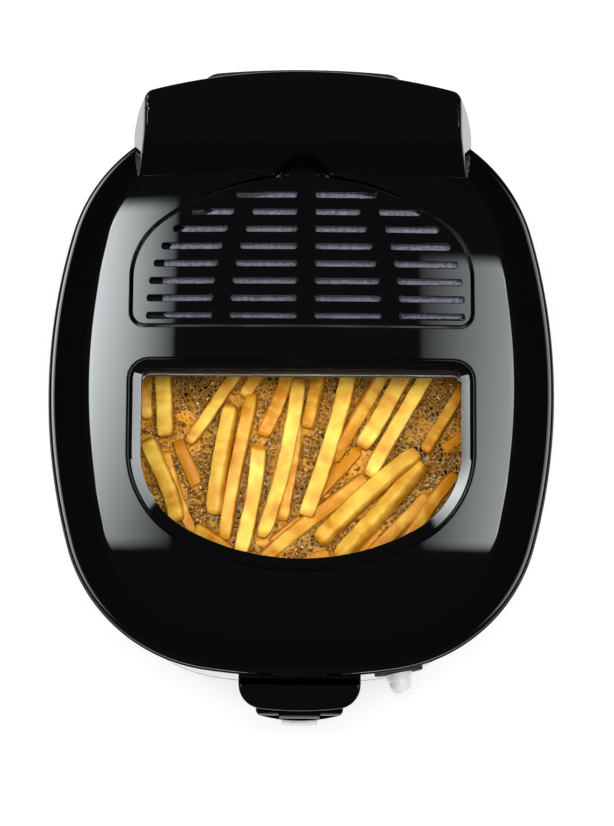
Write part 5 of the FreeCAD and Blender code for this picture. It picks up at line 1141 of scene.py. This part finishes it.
def knob_parts():
    """Profile points, each a radius and a distance from the wall, turned about the axis; and a rounded bar,
    each row a size and a distance, turned by its lean."""
    facing = jacket_out[nearest_step(DIAL_X, DIAL_Y)]
    axis = np.array([facing[0], facing[1], 0.0])
    aside, upright = np.array([-facing[1], facing[0], 0.0]), np.array([0, 0, 1.0])
    turn = circle_points(48)
    round_dir = turn[:, :1] * aside + turn[:, 1:] * upright
    body = strip([KNOB_FOOT + radius * round_dir + out * axis for radius, out in KNOB_PROFILE])
    ring = d_outline(2.3, -7.2, 7.2, 1.2, 1.2, 6.0, 0.6)[0]
    cosine, sine = math.cos(KNOB_LEAN), math.sin(KNOB_LEAN)
    across, along = cosine * aside - sine * upright, cosine * upright + sine * aside
    plan = ring[:, :1] * across + ring[:, 1:] * along
    bar = strip([KNOB_FOOT + size * plan + out * axis for size, out in BAR_STEPS])
    return join(body, bar)


knob = crisp(add_mesh("thermostat_knob", *knob_parts()), 40)
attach(dress(knob, "knob_chrome"), "dial")
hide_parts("knob")
print("knob faces:", len(knob.data.polygons))

# %% [markdown]
# ## The wire basket
# The basket is welded from round wires at an even pitch: hoops at every level, uprights down the wall, and
# a grid across the floor. A Wireframe modifier on a box would give square wires that all cross in one
# plane. Thin tubes along paths can lie over and under each other as real wires do.

# %% Wires


def wire_path(points, radius, sides=5, closed=False):
    """A thin tube along a path: at every point a ring square to the direction between its neighbours."""
    points = np.asarray(points, float)
    ahead = np.roll(points, -1, 0) - np.roll(points, 1, 0)
    if not closed:
        ahead[0], ahead[-1] = points[1] - points[0], points[-1] - points[-2]
    ahead = unit(ahead)
    guide = np.where(np.abs(ahead[:, 2:]) < 0.8, [[0, 0, 1.0]], [[0.6, 0.8, 0.0]])
    first = unit(np.cross(ahead, guide))
    second = np.cross(first, ahead)
    angle = np.linspace(0, 2 * math.pi, sides, endpoint=False)
    ring = np.cos(angle)[:, None, None] * first + np.sin(angle)[:, None, None] * second
    rows = points + radius * ring
    verts, faces = strip(rows.transpose(1, 0, 2))
    if closed:
        start, end = np.arange(sides), (np.arange(sides) + 1) % sides
        last = (len(points) - 1) * sides
        faces = np.concatenate([faces, np.stack([last + start, last + end, end, start], 1)])
    return verts, faces


print("faces of a short wire:", len(wire_path([[0, 0, 0], [0, 0, 1]], 0.5)[1]))

# %% Wire basket
BASKET_LOW, BASKET_HIGH, BASKET_INSET, BASKET_TAPER, WIRE_RADIUS = 75.0, 148.2, 30.7, 8.0, 0.55
HOOP_PITCH, HOOPS, FLOOR_PITCH = 6.5, 11, 6.4


def basket_wires():
    """Hoops and uprights on a wall that tapers evenly, and floor wires as long as the outline allows."""
    loop, out = lid_outline(8.0)
    parts = []

    def inset_at(level):
        """How far the wall lies inside the lid's outline."""
        return BASKET_INSET + BASKET_TAPER * (BASKET_HIGH - level) / (BASKET_HIGH - BASKET_LOW)

    for level in BASKET_HIGH - HOOP_PITCH * np.arange(HOOPS):
        parts.append(wire_path(at_level(loop - inset_at(level) * out, level), WIRE_RADIUS, closed=True))
    levels = np.linspace(BASKET_LOW, BASKET_HIGH, 5)
    for place, facing in zip(*lid_outline(7.0)):
        line = np.array([[*(place - (inset_at(level) + 0.8) * facing), level] for level in levels])
        parts.append(wire_path(line, WIRE_RADIUS, 4))
    edge = loop - (inset_at(BASKET_LOW) + 1.0) * out
    for x in np.arange(-96, 97, FLOOR_PITCH):
        reach = np.abs(edge[np.abs(edge[:, 0] - x) < 7.0][:, 1]).mean()
        parts.append(wire_path([[x, -reach, BASKET_LOW], [x, reach, BASKET_LOW]], WIRE_RADIUS, 4))
    above = BASKET_LOW + 0.9
    for y in np.arange(-112, 113, FLOOR_PITCH):
        reach = np.abs(edge[np.abs(edge[:, 1] - y) < 7.0][:, 0]).mean()
        parts.append(wire_path([[-reach, y, above], [reach, y, above]], WIRE_RADIUS, 4))
    return join(*parts)


basket = add_mesh("wire_basket", *basket_wires())
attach(dress(basket, "wire"), "basket")
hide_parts("basket_mesh")
print("basket faces:", len(basket.data.polygons))

# %% [markdown]
# ## Oil and fries
# The food isn't part of the fryer's construction, so it has no CAD: the oil rides with the body and the
# fries with the basket. A physics drop would scatter the fries anyhow. Those in sight lie where they lie in
# the picture, so their ends are given as places in the picture, and a sight line through each place meets
# the fry's level. Others lie at random behind them.

# %% Sight lines
CAMERA_PLACE, CAMERA_AIM = np.array([0.0, -288.0, 1749.0]), np.array([3.2, -12.8, 173.0])
CAMERA_ROLL, LENS, SENSOR = math.radians(1.0), 84.14, 24.0
PHOTO_WIDTH, PHOTO_HEIGHT = 614, 826


def camera_axes():
    """The camera's right, up and forward directions, from where it stands, where it looks and its roll."""
    forward = unit(CAMERA_AIM - CAMERA_PLACE)
    right = unit(np.cross(forward, [0, 0, 1.0]))
    up = np.cross(right, forward)
    cosine, sine = math.cos(CAMERA_ROLL), math.sin(CAMERA_ROLL)
    return cosine * right + sine * up, cosine * up - sine * right, forward


def seen(across, down, level):
    """The point at a level that the camera sees at a place in the picture."""
    right, up, forward = camera_axes()
    scale = SENSOR / LENS / PHOTO_HEIGHT
    ray = forward + right * (across - PHOTO_WIDTH / 2) * scale - up * (down - PHOTO_HEIGHT / 2) * scale
    return (CAMERA_PLACE + ray * (level - CAMERA_PLACE[2]) / ray[2])[:2]


print("camera looks along", camera_axes()[2].round(2))

# %% Fry finish


def add_ramp(tree, *stops):
    """A colour ramp between two stops, each a place and a colour."""
    ramp = add_node(tree, "ShaderNodeValToRGB")
    for stop, (place, colour) in zip(ramp.color_ramp.elements, stops):
        stop.position, stop.color = place, (*colour, 1)
    return ramp


def add_range(tree, low, high, first, last):
    """A map from one range of values to another, held at its ends."""
    values = {"From Min": low, "From Max": high, "To Min": first, "To Max": last}
    return add_node(tree, "ShaderNodeMapRange", values)


def fry_material():
    """Pale and brown mixed by a stored value, which holds the browning and a painted shade, plus the grain,
    with bumps and a thin oily coat.
    """
    tree, shader = new_material("fry", Roughness=0.4, Specular_IOR_Level=0.2, Coat_Weight=0.08,
                                Coat_Roughness=0.15)
    noise = add_grain(tree, 90, 5)
    browning_and_shade = add_node(tree, "ShaderNodeAttribute", attribute_name="browning_and_shade")
    total = add_node(tree, "ShaderNodeMath", operation="ADD")
    ramp = add_ramp(tree, (0.4, (0.76, 0.53, 0.088)), (1.0, (0.38, 0.14, 0.004)))
    link_all(tree, (browning_and_shade.outputs["Fac"], total.inputs[0]), (noise.outputs["Grain"], total.inputs[1]),
             (total.outputs[0], ramp.inputs["Fac"]), (ramp.outputs["Color"], shader.inputs["Base Color"]))
    add_relief(tree, shader, noise.outputs["Grain"], 0.5, 0.001)


fry_material()
print("finishes with the fries:", len(materials))

# %% Oil and bubble finishes


def oil_material():
    """Hot oil: amber and dark drifts, with the pale outlines of a mass of tiny bubbles."""
    tree, shader = new_material("oil", Roughness=0.25, Specular_IOR_Level=0.1)
    where = add_node(tree, "ShaderNodeTexCoord")
    cells = add_node(tree, "ShaderNodeTexVoronoi", {"Scale": 360}, feature="DISTANCE_TO_EDGE")
    drift = add_grain(tree, 48, 3)
    deep = add_ramp(tree, (0.40, (0.012, 0.005, 0.001)), (0.68, (0.44, 0.175, 0.007)))
    rim = add_range(tree, 0.05, 0.16, 0.28, 0.0)
    mix = add_node(tree, "ShaderNodeMix", data_type="RGBA")
    mix.inputs["B"].default_value = (0.85, 0.50, 0.10, 1)
    link_all(tree, (where.outputs["Object"], cells.inputs["Vector"]),
             (drift.outputs["Grain"], deep.inputs["Fac"]), (cells.outputs["Distance"], rim.inputs["Value"]),
             (rim.outputs["Result"], mix.inputs["Factor"]), (deep.outputs["Color"], mix.inputs["A"]),
             (mix.outputs["Result"], shader.inputs["Base Color"]))


def bubble_material():
    """Painted sheen: dark amber middle, pale rim by facing; and a stored glint, a painted highlight."""
    tree, shader = new_material("bubble", Roughness=0.2, Specular_IOR_Level=0.1)
    facing = add_node(tree, "ShaderNodeLayerWeight", {"Blend": 0.35})
    ramp = add_ramp(tree, (0.15, (0.12, 0.042, 0.002)), (0.75, (0.80, 0.45, 0.08)))
    glint = add_node(tree, "ShaderNodeAttribute", attribute_name="glint")
    mix = add_node(tree, "ShaderNodeMix", data_type="RGBA")
    # The pale colour that the glint mixes in is a painted highlight.
    mix.inputs["B"].default_value = (1.0, 0.94, 0.78, 1)
    link_all(tree, (facing.outputs["Facing"], ramp.inputs["Fac"]),
             (glint.outputs["Fac"], mix.inputs["Factor"]), (ramp.outputs["Color"], mix.inputs["A"]),
             (mix.outputs["Result"], shader.inputs["Base Color"]))


oil_material()
bubble_material()
print("finishes with the food:", len(materials))

# %% Places of the fries
# Across and down at one end, across and down at the other, width in picture units, layer from the top, bow.
FRIES_IN_SIGHT = [
    (161, 352, 166, 437, 15.5, 0, 1), (246, 362, 188, 444, 12.0, 0, 0), (232, 405, 214, 515, 14.5, 0, -2),
    (253, 394, 225, 540, 13.0, 1, -2), (272, 356, 243, 398, 13.0, 1, 0), (295, 350, 262, 437, 14.0, 1, 3),
    (299, 380, 262, 538, 15.0, 0, 5), (259, 447, 240, 558, 15.0, 0, 3), (295, 422, 282, 521, 13.5, 1, 2),
    (148, 440, 178, 522, 15.0, 0, 3), (165, 452, 194, 535, 11.0, 1, -3), (179, 440, 197, 486, 13.0, 2, 0),
    (195, 527, 238, 560, 11.0, 1, 2), (145, 355, 147, 420, 12.0, 1, 0), (365, 478, 258, 564, 14.0, 1, -2),
    (302, 520, 272, 543, 12.0, 2, 0), (354, 350, 306, 517, 16.0, 0, 4), (325, 350, 308, 429, 12.5, 1, 0),
    (396, 352, 331, 461, 12.5, 1, 0), (418, 354, 361, 448, 17.0, 0, 0), (440, 352, 368, 477, 14.5, 0, 0),
    (359, 450, 317, 497, 13.0, 2, 0), (418, 454, 318, 542, 16.5, 0, -3), (422, 463, 336, 560, 14.5, 0, 2),
    (429, 495, 360, 566, 12.5, 1, 0), (455, 474, 400, 550, 12.0, 1, -2), (468, 380, 425, 453, 11.5, 1, 0),
    (468, 434, 442, 449, 11.0, 2, 0), (380, 528, 352, 560, 12.0, 2, 0), (330, 556, 292, 566, 12.0, 2, 0),
]
print("fries in sight:", len(FRIES_IN_SIGHT))

# %% One fry
FRY_SHARES = np.concatenate([[0, 0.006, 0.02], np.linspace(0.05, 0.95, 19), [0.98, 0.994, 1.0]])


def fry(start, end, height, width, bow, darker):
    """One fry: a rounded square section along a gently bent line, with blunt ends. Returns points, faces and
    colour values: corners and ends are browner; the lower half and deeper fries are darker, a painted shade."""
    share = FRY_SHARES
    size = width / 2 * (1 + 0.025 * rng.standard_normal(len(share)))
    for end_share in (share, 1 - share):
        point, reach = rng.uniform(0.5, 1.0), rng.uniform(0.03, 0.14)
        taper = point + (1 - point) * np.clip(end_share / reach, 0, 1) ** 0.7
        size = size * taper * np.clip(0.8 + end_share / 0.06, 0, 1)
    along = unit(end - start)
    side = np.array([-along[1], along[0]])
    sway = bow * 4 * share * (1 - share) + rng.normal(0, 0.35) * np.sin(share * 2 * math.pi)
    line = start + share[:, None] * (end - start) + sway[:, None] * side
    angle = np.radians([quarter + step for quarter in (0, 90, 180, 270) for step in (4, 32, 58, 86)])
    across = 0.72 * np.sign(np.cos(angle)) + 0.28 * np.cos(angle)
    upright = 0.72 * np.sign(np.sin(angle)) + 0.28 * np.sin(angle)
    bulge = np.hypot(across, upright)
    tilt = rng.normal(0, 0.22)
    turned = np.cos(tilt) * across - np.sin(tilt) * upright, np.sin(tilt) * across + np.cos(tilt) * upright
    rows = np.zeros((len(share), len(angle), 3))
    rows[..., :2] = line[:, None, :] + size[:, None, None] * turned[0][None, :, None] * side
    rows[..., 2] = height + 0.85 * size[:, None] * turned[1]
    rows[..., 2] += rng.normal(0, 0.7) * (share[:, None] - 0.5) * 2
    browning_and_shade = darker + 0.24 * (bulge - 1) / (bulge.max() - 1) + rng.normal(0, 0.05, (len(share), 1))
    # Ends are browner; the lower half of the section is darker, a painted shade on the underside.
    browning_and_shade = browning_and_shade + 0.2 * (np.abs(share[:, None] - 0.5) > 0.46) + 0.35 * (upright < 0.5)
    first, last = rows[:1] * 0 + rows[0].mean(0), rows[:1] * 0 + rows[-1].mean(0)
    browning_and_shade = np.concatenate([browning_and_shade[:1], browning_and_shade, browning_and_shade[-1:]])
    verts, faces = strip(np.concatenate([first, rows, last]))
    return verts, faces, browning_and_shade.ravel()


print("rings along a fry:", len(FRY_SHARES))

# %% All fries
OIL_LEVEL = 132.0
LAYER_LEVELS = (OIL_LEVEL + 4.4, OIL_LEVEL + 1.4, OIL_LEVEL - 0.8)
# Deeper layers are darker: a painted shade under the fries above them.
LAYER_SHADES = (0.0, 0.17, 0.42)
FRY_COUNT, HIDDEN_WIDTH = 62, 8.0
PICTURE_TO_MM = CAMERA_PLACE[2] * SENSOR / LENS / PHOTO_HEIGHT * 0.93


def lay_fries():
    """The fries in sight, then some at random under the lid's rear."""
    made, lines = [], []
    for ax, ay, bx, by, width, layer, bow in FRIES_IN_SIGHT:
        level = LAYER_LEVELS[layer]
        start, end = seen(ax, ay, level), seen(bx, by, level)
        width = width * PICTURE_TO_MM
        # A random difference in colour, plus the layer's painted shade.
        darker = rng.uniform(-0.04, 0.08) + LAYER_SHADES[layer]
        made.append(fry(start, end, level, width, bow * PICTURE_TO_MM, darker))
        lines.append((start, end, width, layer))
    while len(made) < FRY_COUNT:
        start = np.array([rng.uniform(-92, 92), rng.uniform(24, 104)])
        turn = rng.uniform(0, math.pi)
        end = start + rng.uniform(55, 85) * np.array([math.cos(turn), math.sin(turn)])
        if end[1] > 22 and min(lid_inset(start[0], start[1]), lid_inset(end[0], end[1])) > 46:
            layer = len(made) % 3
            level = LAYER_LEVELS[layer] + rng.uniform(-0.5, 0.5)
            # Deeper hidden fries are darker too, a painted shade.
            made.append(fry(start, end, level, HIDDEN_WIDTH, rng.normal(0, 1.5), 0.1 * layer))
            lines.append((start, end, HIDDEN_WIDTH, layer))
    return made, lines


fry_made, fry_lines = lay_fries()
fry_verts, fry_faces = join(*[(verts, faces) for verts, faces, _ in fry_made])
fry_browning_and_shade = np.concatenate([browning_and_shade for _, _, browning_and_shade in fry_made])
fries = add_mesh("fries", fry_verts, fry_faces, attributes={"browning_and_shade": fry_browning_and_shade})
fries.data.materials.append(materials["fry"])
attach(fries, "basket")
print("fries:", len(fry_made))

# %% [markdown]
# ## Oil and bubbles
# Hot oil is a dark amber pool full of foam. A fluid simulation would take hours for one still moment. A
# gently waved surface with thousands of small half-round bubbles between the fries looks the same from
# above.

# %% Oil
POOL_INSET, POOL_DEPTH = 28.6, 40


def oil_pool():
    """The oil's surface inside the pot: rings from the wall to the middle with small crossed waves."""
    loop, out = lid_outline(4.0)
    wall = loop - POOL_INSET * out
    rows = [at_level(wall * share, OIL_LEVEL - POOL_DEPTH) for share in (0.02, 0.95)]
    for share in np.linspace(1.0, 0.01, 70):
        plan = wall * share
        wave = 0.4 * np.sin(plan[:, 0] * 0.33 + 2 * np.sin(plan[:, 1] * 0.11)) * np.sin(plan[:, 1] * 0.29)
        rows.append(at_level(plan, OIL_LEVEL + wave))
    return strip(rows)


oil = add_mesh("oil", *oil_pool())
oil.data.materials.append(materials["oil"])
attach(oil, "base")
print("oil faces:", len(oil.data.polygons))

# %% Bubbles
BUBBLES = 9500


def clear_of_fries(points):
    """Which points lie further from every fry's line than a share of its width, by layer."""
    clear = np.ones(len(points), bool)
    for start, end, width, layer in fry_lines:
        along = end - start
        share = np.clip((points - start) @ along / (along @ along), 0, 1)
        gap = np.linalg.norm(points - start - share[:, None] * along, axis=1)
        clear &= gap > width * (0.5, 0.52, 0.4)[layer]
    return clear


def bubble_field(count):
    """Half-round bubbles in drifts on the oil, small ones many and large ones few: three rings each, with one
    painted highlight on the middle ring."""
    points = np.stack([rng.uniform(-98, 98, count), rng.uniform(-108, 16, count)], 1)
    x, y = points[:, 0], points[:, 1]
    drift = np.sin(x * 0.09 + 1) * np.sin(y * 0.11) + np.sin(x * 0.05 - y * 0.07)
    keep = (lid_inset(x, y) > 44) & clear_of_fries(points)
    keep &= drift + rng.normal(0, 0.5, count) > -1.2
    ring = circle_points(7)
    parts, glints = [], []
    for point in points[keep]:
        radius = min(0.6 + rng.exponential(0.32), 1.9)
        base = OIL_LEVEL + rng.uniform(-0.2, 1.0)
        parts.append(strip([at_level(point + radius * math.cos(lift) * ring, base + radius * math.sin(lift))
                            for lift in (0.0, 0.7, 1.55)]))
        glint = np.zeros((3, 7))
        # One point on the middle ring gets a painted highlight.
        glint[1, rng.integers(0, 7)] = rng.uniform(0, 1) ** 2
        glints.append(glint.ravel())
    verts, faces = join(*parts)
    return verts, faces, np.concatenate(glints)


bubble_verts, bubble_faces, bubble_glint = bubble_field(BUBBLES)
bubbles = add_mesh("bubbles", bubble_verts, bubble_faces, attributes={"glint": bubble_glint})
bubbles.data.materials.append(materials["bubble"])
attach(bubbles, "base")
print("bubble faces:", len(bubbles.data.polygons))

# %% [markdown]
# ## Floor and light
# A studio shot on white: a pale floor, soft light from all sides, and two long grey streaks on the lid.
# Area lights alone would leave hard white shapes in the gloss. So the lights don't show in reflections, and
# two hanging cards that only reflections see draw the streaks, each with a glow that fades towards its
# borders.

# %% Floor
FLOOR_REACH = 4000


def make_floor():
    """A wide plane that looks white to the camera and takes a faint shadow; reflections see it white near the
    fryer and dark far away."""
    corners = FLOOR_REACH * np.array([[-1, -1, 0], [1, -1, 0], [1, 1, 0], [-1, 1, 0]], float)
    floor = add_mesh("floor", corners, [(0, 1, 2, 3)], smooth=False)
    tree, shader = new_material("floor", Base_Color=(0.8, 0.8, 0.8, 1), Roughness=0.9)
    glow = add_node(tree, "ShaderNodeEmission", {"Strength": 1.02})
    path = add_node(tree, "ShaderNodeLightPath")
    share = add_node(tree, "ShaderNodeMath", {1: 0.66}, operation="MULTIPLY")
    where = add_node(tree, "ShaderNodeTexCoord")
    away = add_node(tree, "ShaderNodeVectorMath", operation="LENGTH")
    fall = add_range(tree, 0.35, 0.7, 0.95, 0.0)
    near = add_node(tree, "ShaderNodeEmission")
    veil = add_node(tree, "ShaderNodeMixShader")
    mix = add_node(tree, "ShaderNodeMixShader")
    link_all(tree, (where.outputs["Object"], away.inputs[0]), (away.outputs["Value"], fall.inputs["Value"]),
             (fall.outputs["Result"], near.inputs["Strength"]),
             (path.outputs["Is Glossy Ray"], veil.inputs[0]),
             (shader.outputs[0], veil.inputs[1]), (near.outputs[0], veil.inputs[2]),
             (path.outputs["Is Camera Ray"], share.inputs[0]), (share.outputs[0], mix.inputs[0]),
             (veil.outputs[0], mix.inputs[1]), (glow.outputs[0], mix.inputs[2]),
             (mix.outputs[0], tree.nodes["Material Output"].inputs[0]))
    floor.data.materials.append(materials["floor"])


make_floor()
print("floor:", FLOOR_REACH * 2 // 1000, "m wide")

# %% Cards for reflections


def glow_card(name, corner, first, second, strength, drop, fade):
    """A hanging card that only reflections see. It is a grid between two edges. Its stored glow changes
    evenly along the first edge, drops towards the front, and rises from each border over a share of it."""
    u, v = np.meshgrid(np.linspace(0, 1, 61), np.linspace(0, 1, 61))
    points = np.asarray(corner) + u[..., None] * np.asarray(first) + v[..., None] * np.asarray(second)
    verts, faces = strip(points, closed=False)
    steps = [u / fade[0], (1 - u) / fade[1], v / fade[2], (1 - v) / fade[3]]
    steps = [np.clip(step, 0, 1) for step in steps]
    glow = np.prod([step * step * (3 - 2 * step) for step in steps], axis=0)
    glow = glow * (strength[0] + (strength[1] - strength[0]) * u) * (1 - drop * (1 - v) ** 2)
    card = add_mesh(name, verts, faces, attributes={"glow": glow.ravel()})
    tree, shader = new_material(name)
    tree.nodes.remove(shader)
    stored = add_node(tree, "ShaderNodeAttribute", attribute_name="glow")
    light = add_node(tree, "ShaderNodeEmission", {"Color": (0.93, 0.99, 1.0, 1)})
    link_all(tree, (stored.outputs["Fac"], light.inputs["Strength"]),
             (light.outputs[0], tree.nodes["Material Output"].inputs[0]))
    card.data.materials.append(materials[name])
    card.visible_camera = card.visible_diffuse = card.visible_shadow = card.visible_transmission = False


glow_card("card_left", corner=(-600, -90, 1750), first=(319, 0, 0), second=(0, 830, 0), strength=(28.0, 0.9),
          drop=0.6, fade=(0.37, 0.03, 0.03, 0.05))
glow_card("card_right", corner=(610, -90, 1750), first=(-350, 0, 0), second=(0, 690, 0), strength=(10.5, 0.4),
          drop=-0.35, fade=(0.06, 0.04, 0.03, 0.05))

# %% Lights and sky


def soft_box(name, place, aim, wide, deep, power):
    """A rectangular light that looks at a point and isn't seen in reflections; metres and watts."""
    light = bpy.data.lights.new(name, "AREA")
    light.shape = "RECTANGLE"
    light.size, light.size_y, light.energy = wide, deep, power
    thing = bpy.data.objects.new(name, light)
    scene.collection.objects.link(thing)
    thing.location = place
    thing.rotation_euler = (Vector(aim) - Vector(place)).to_track_quat("-Z", "Y").to_euler()
    thing.visible_glossy = False


def studio_sky():
    """An even grey that lights the fryer; reflections see a dark sky with a grey band at half height."""
    world = bpy.data.worlds.new("world")
    scene.world = world
    world.use_nodes = True
    tree = world.node_tree
    path = add_node(tree, "ShaderNodeLightPath")
    where = add_node(tree, "ShaderNodeTexCoord")
    axes = add_node(tree, "ShaderNodeSeparateXYZ")
    band = add_ramp(tree, (0.2, (0, 0, 0)), (0.8, (0, 0, 0)))
    band.color_ramp.elements.new(0.5).color = (0.22, 0.22, 0.22, 1)
    dim = add_node(tree, "ShaderNodeMapRange", {"To Min": 0.6})
    link_all(tree, (where.outputs["Generated"], axes.inputs[0]), (axes.outputs["Z"], band.inputs["Fac"]),
             (path.outputs["Is Glossy Ray"], dim.inputs["Value"]),
             (band.outputs["Color"], dim.inputs["To Max"]),
             (dim.outputs["Result"], tree.nodes["Background"].inputs["Strength"]))


soft_box("box_left", (-0.70, 0.1, 1.6), (0.0, 0.0, 0.15), 0.5, 0.9, 18)
soft_box("box_right", (0.70, 0.1, 1.6), (0.0, 0.0, 0.15), 0.5, 0.9, 18)
soft_box("front_fill", (0.0, -1.4, 1.3), (0.0, 0.0, 0.1), 1.2, 0.8, 9)
soft_box("top_fill", (0.0, -0.25, 2.3), (0.0, -0.03, 0.15), 0.6, 0.6, 38)
studio_sky()
print("lights:", len(bpy.data.lights))

# %% [markdown]
# ## Camera
# The picture was taken from high above, leaning a little towards the front. The camera stands where the
# sight lines start, and its axes are set directly from their directions. A Track To constraint could aim
# it, but it couldn't add the small roll.

# %% Camera
camera = bpy.data.objects.new("camera", bpy.data.cameras.new("camera"))
scene.collection.objects.link(camera)
scene.camera = camera
camera.data.sensor_fit = "VERTICAL"
camera.data.sensor_height = SENSOR
camera.data.lens = LENS
camera.location = CAMERA_PLACE * 0.001
right_axis, up_axis, forward_axis = camera_axes()
camera.rotation_euler = Matrix(np.stack([right_axis, up_axis, -forward_axis], 1).tolist()).to_euler()
scene.view_settings.view_transform = "Standard"
print("camera height:", CAMERA_PLACE[2], "mm")
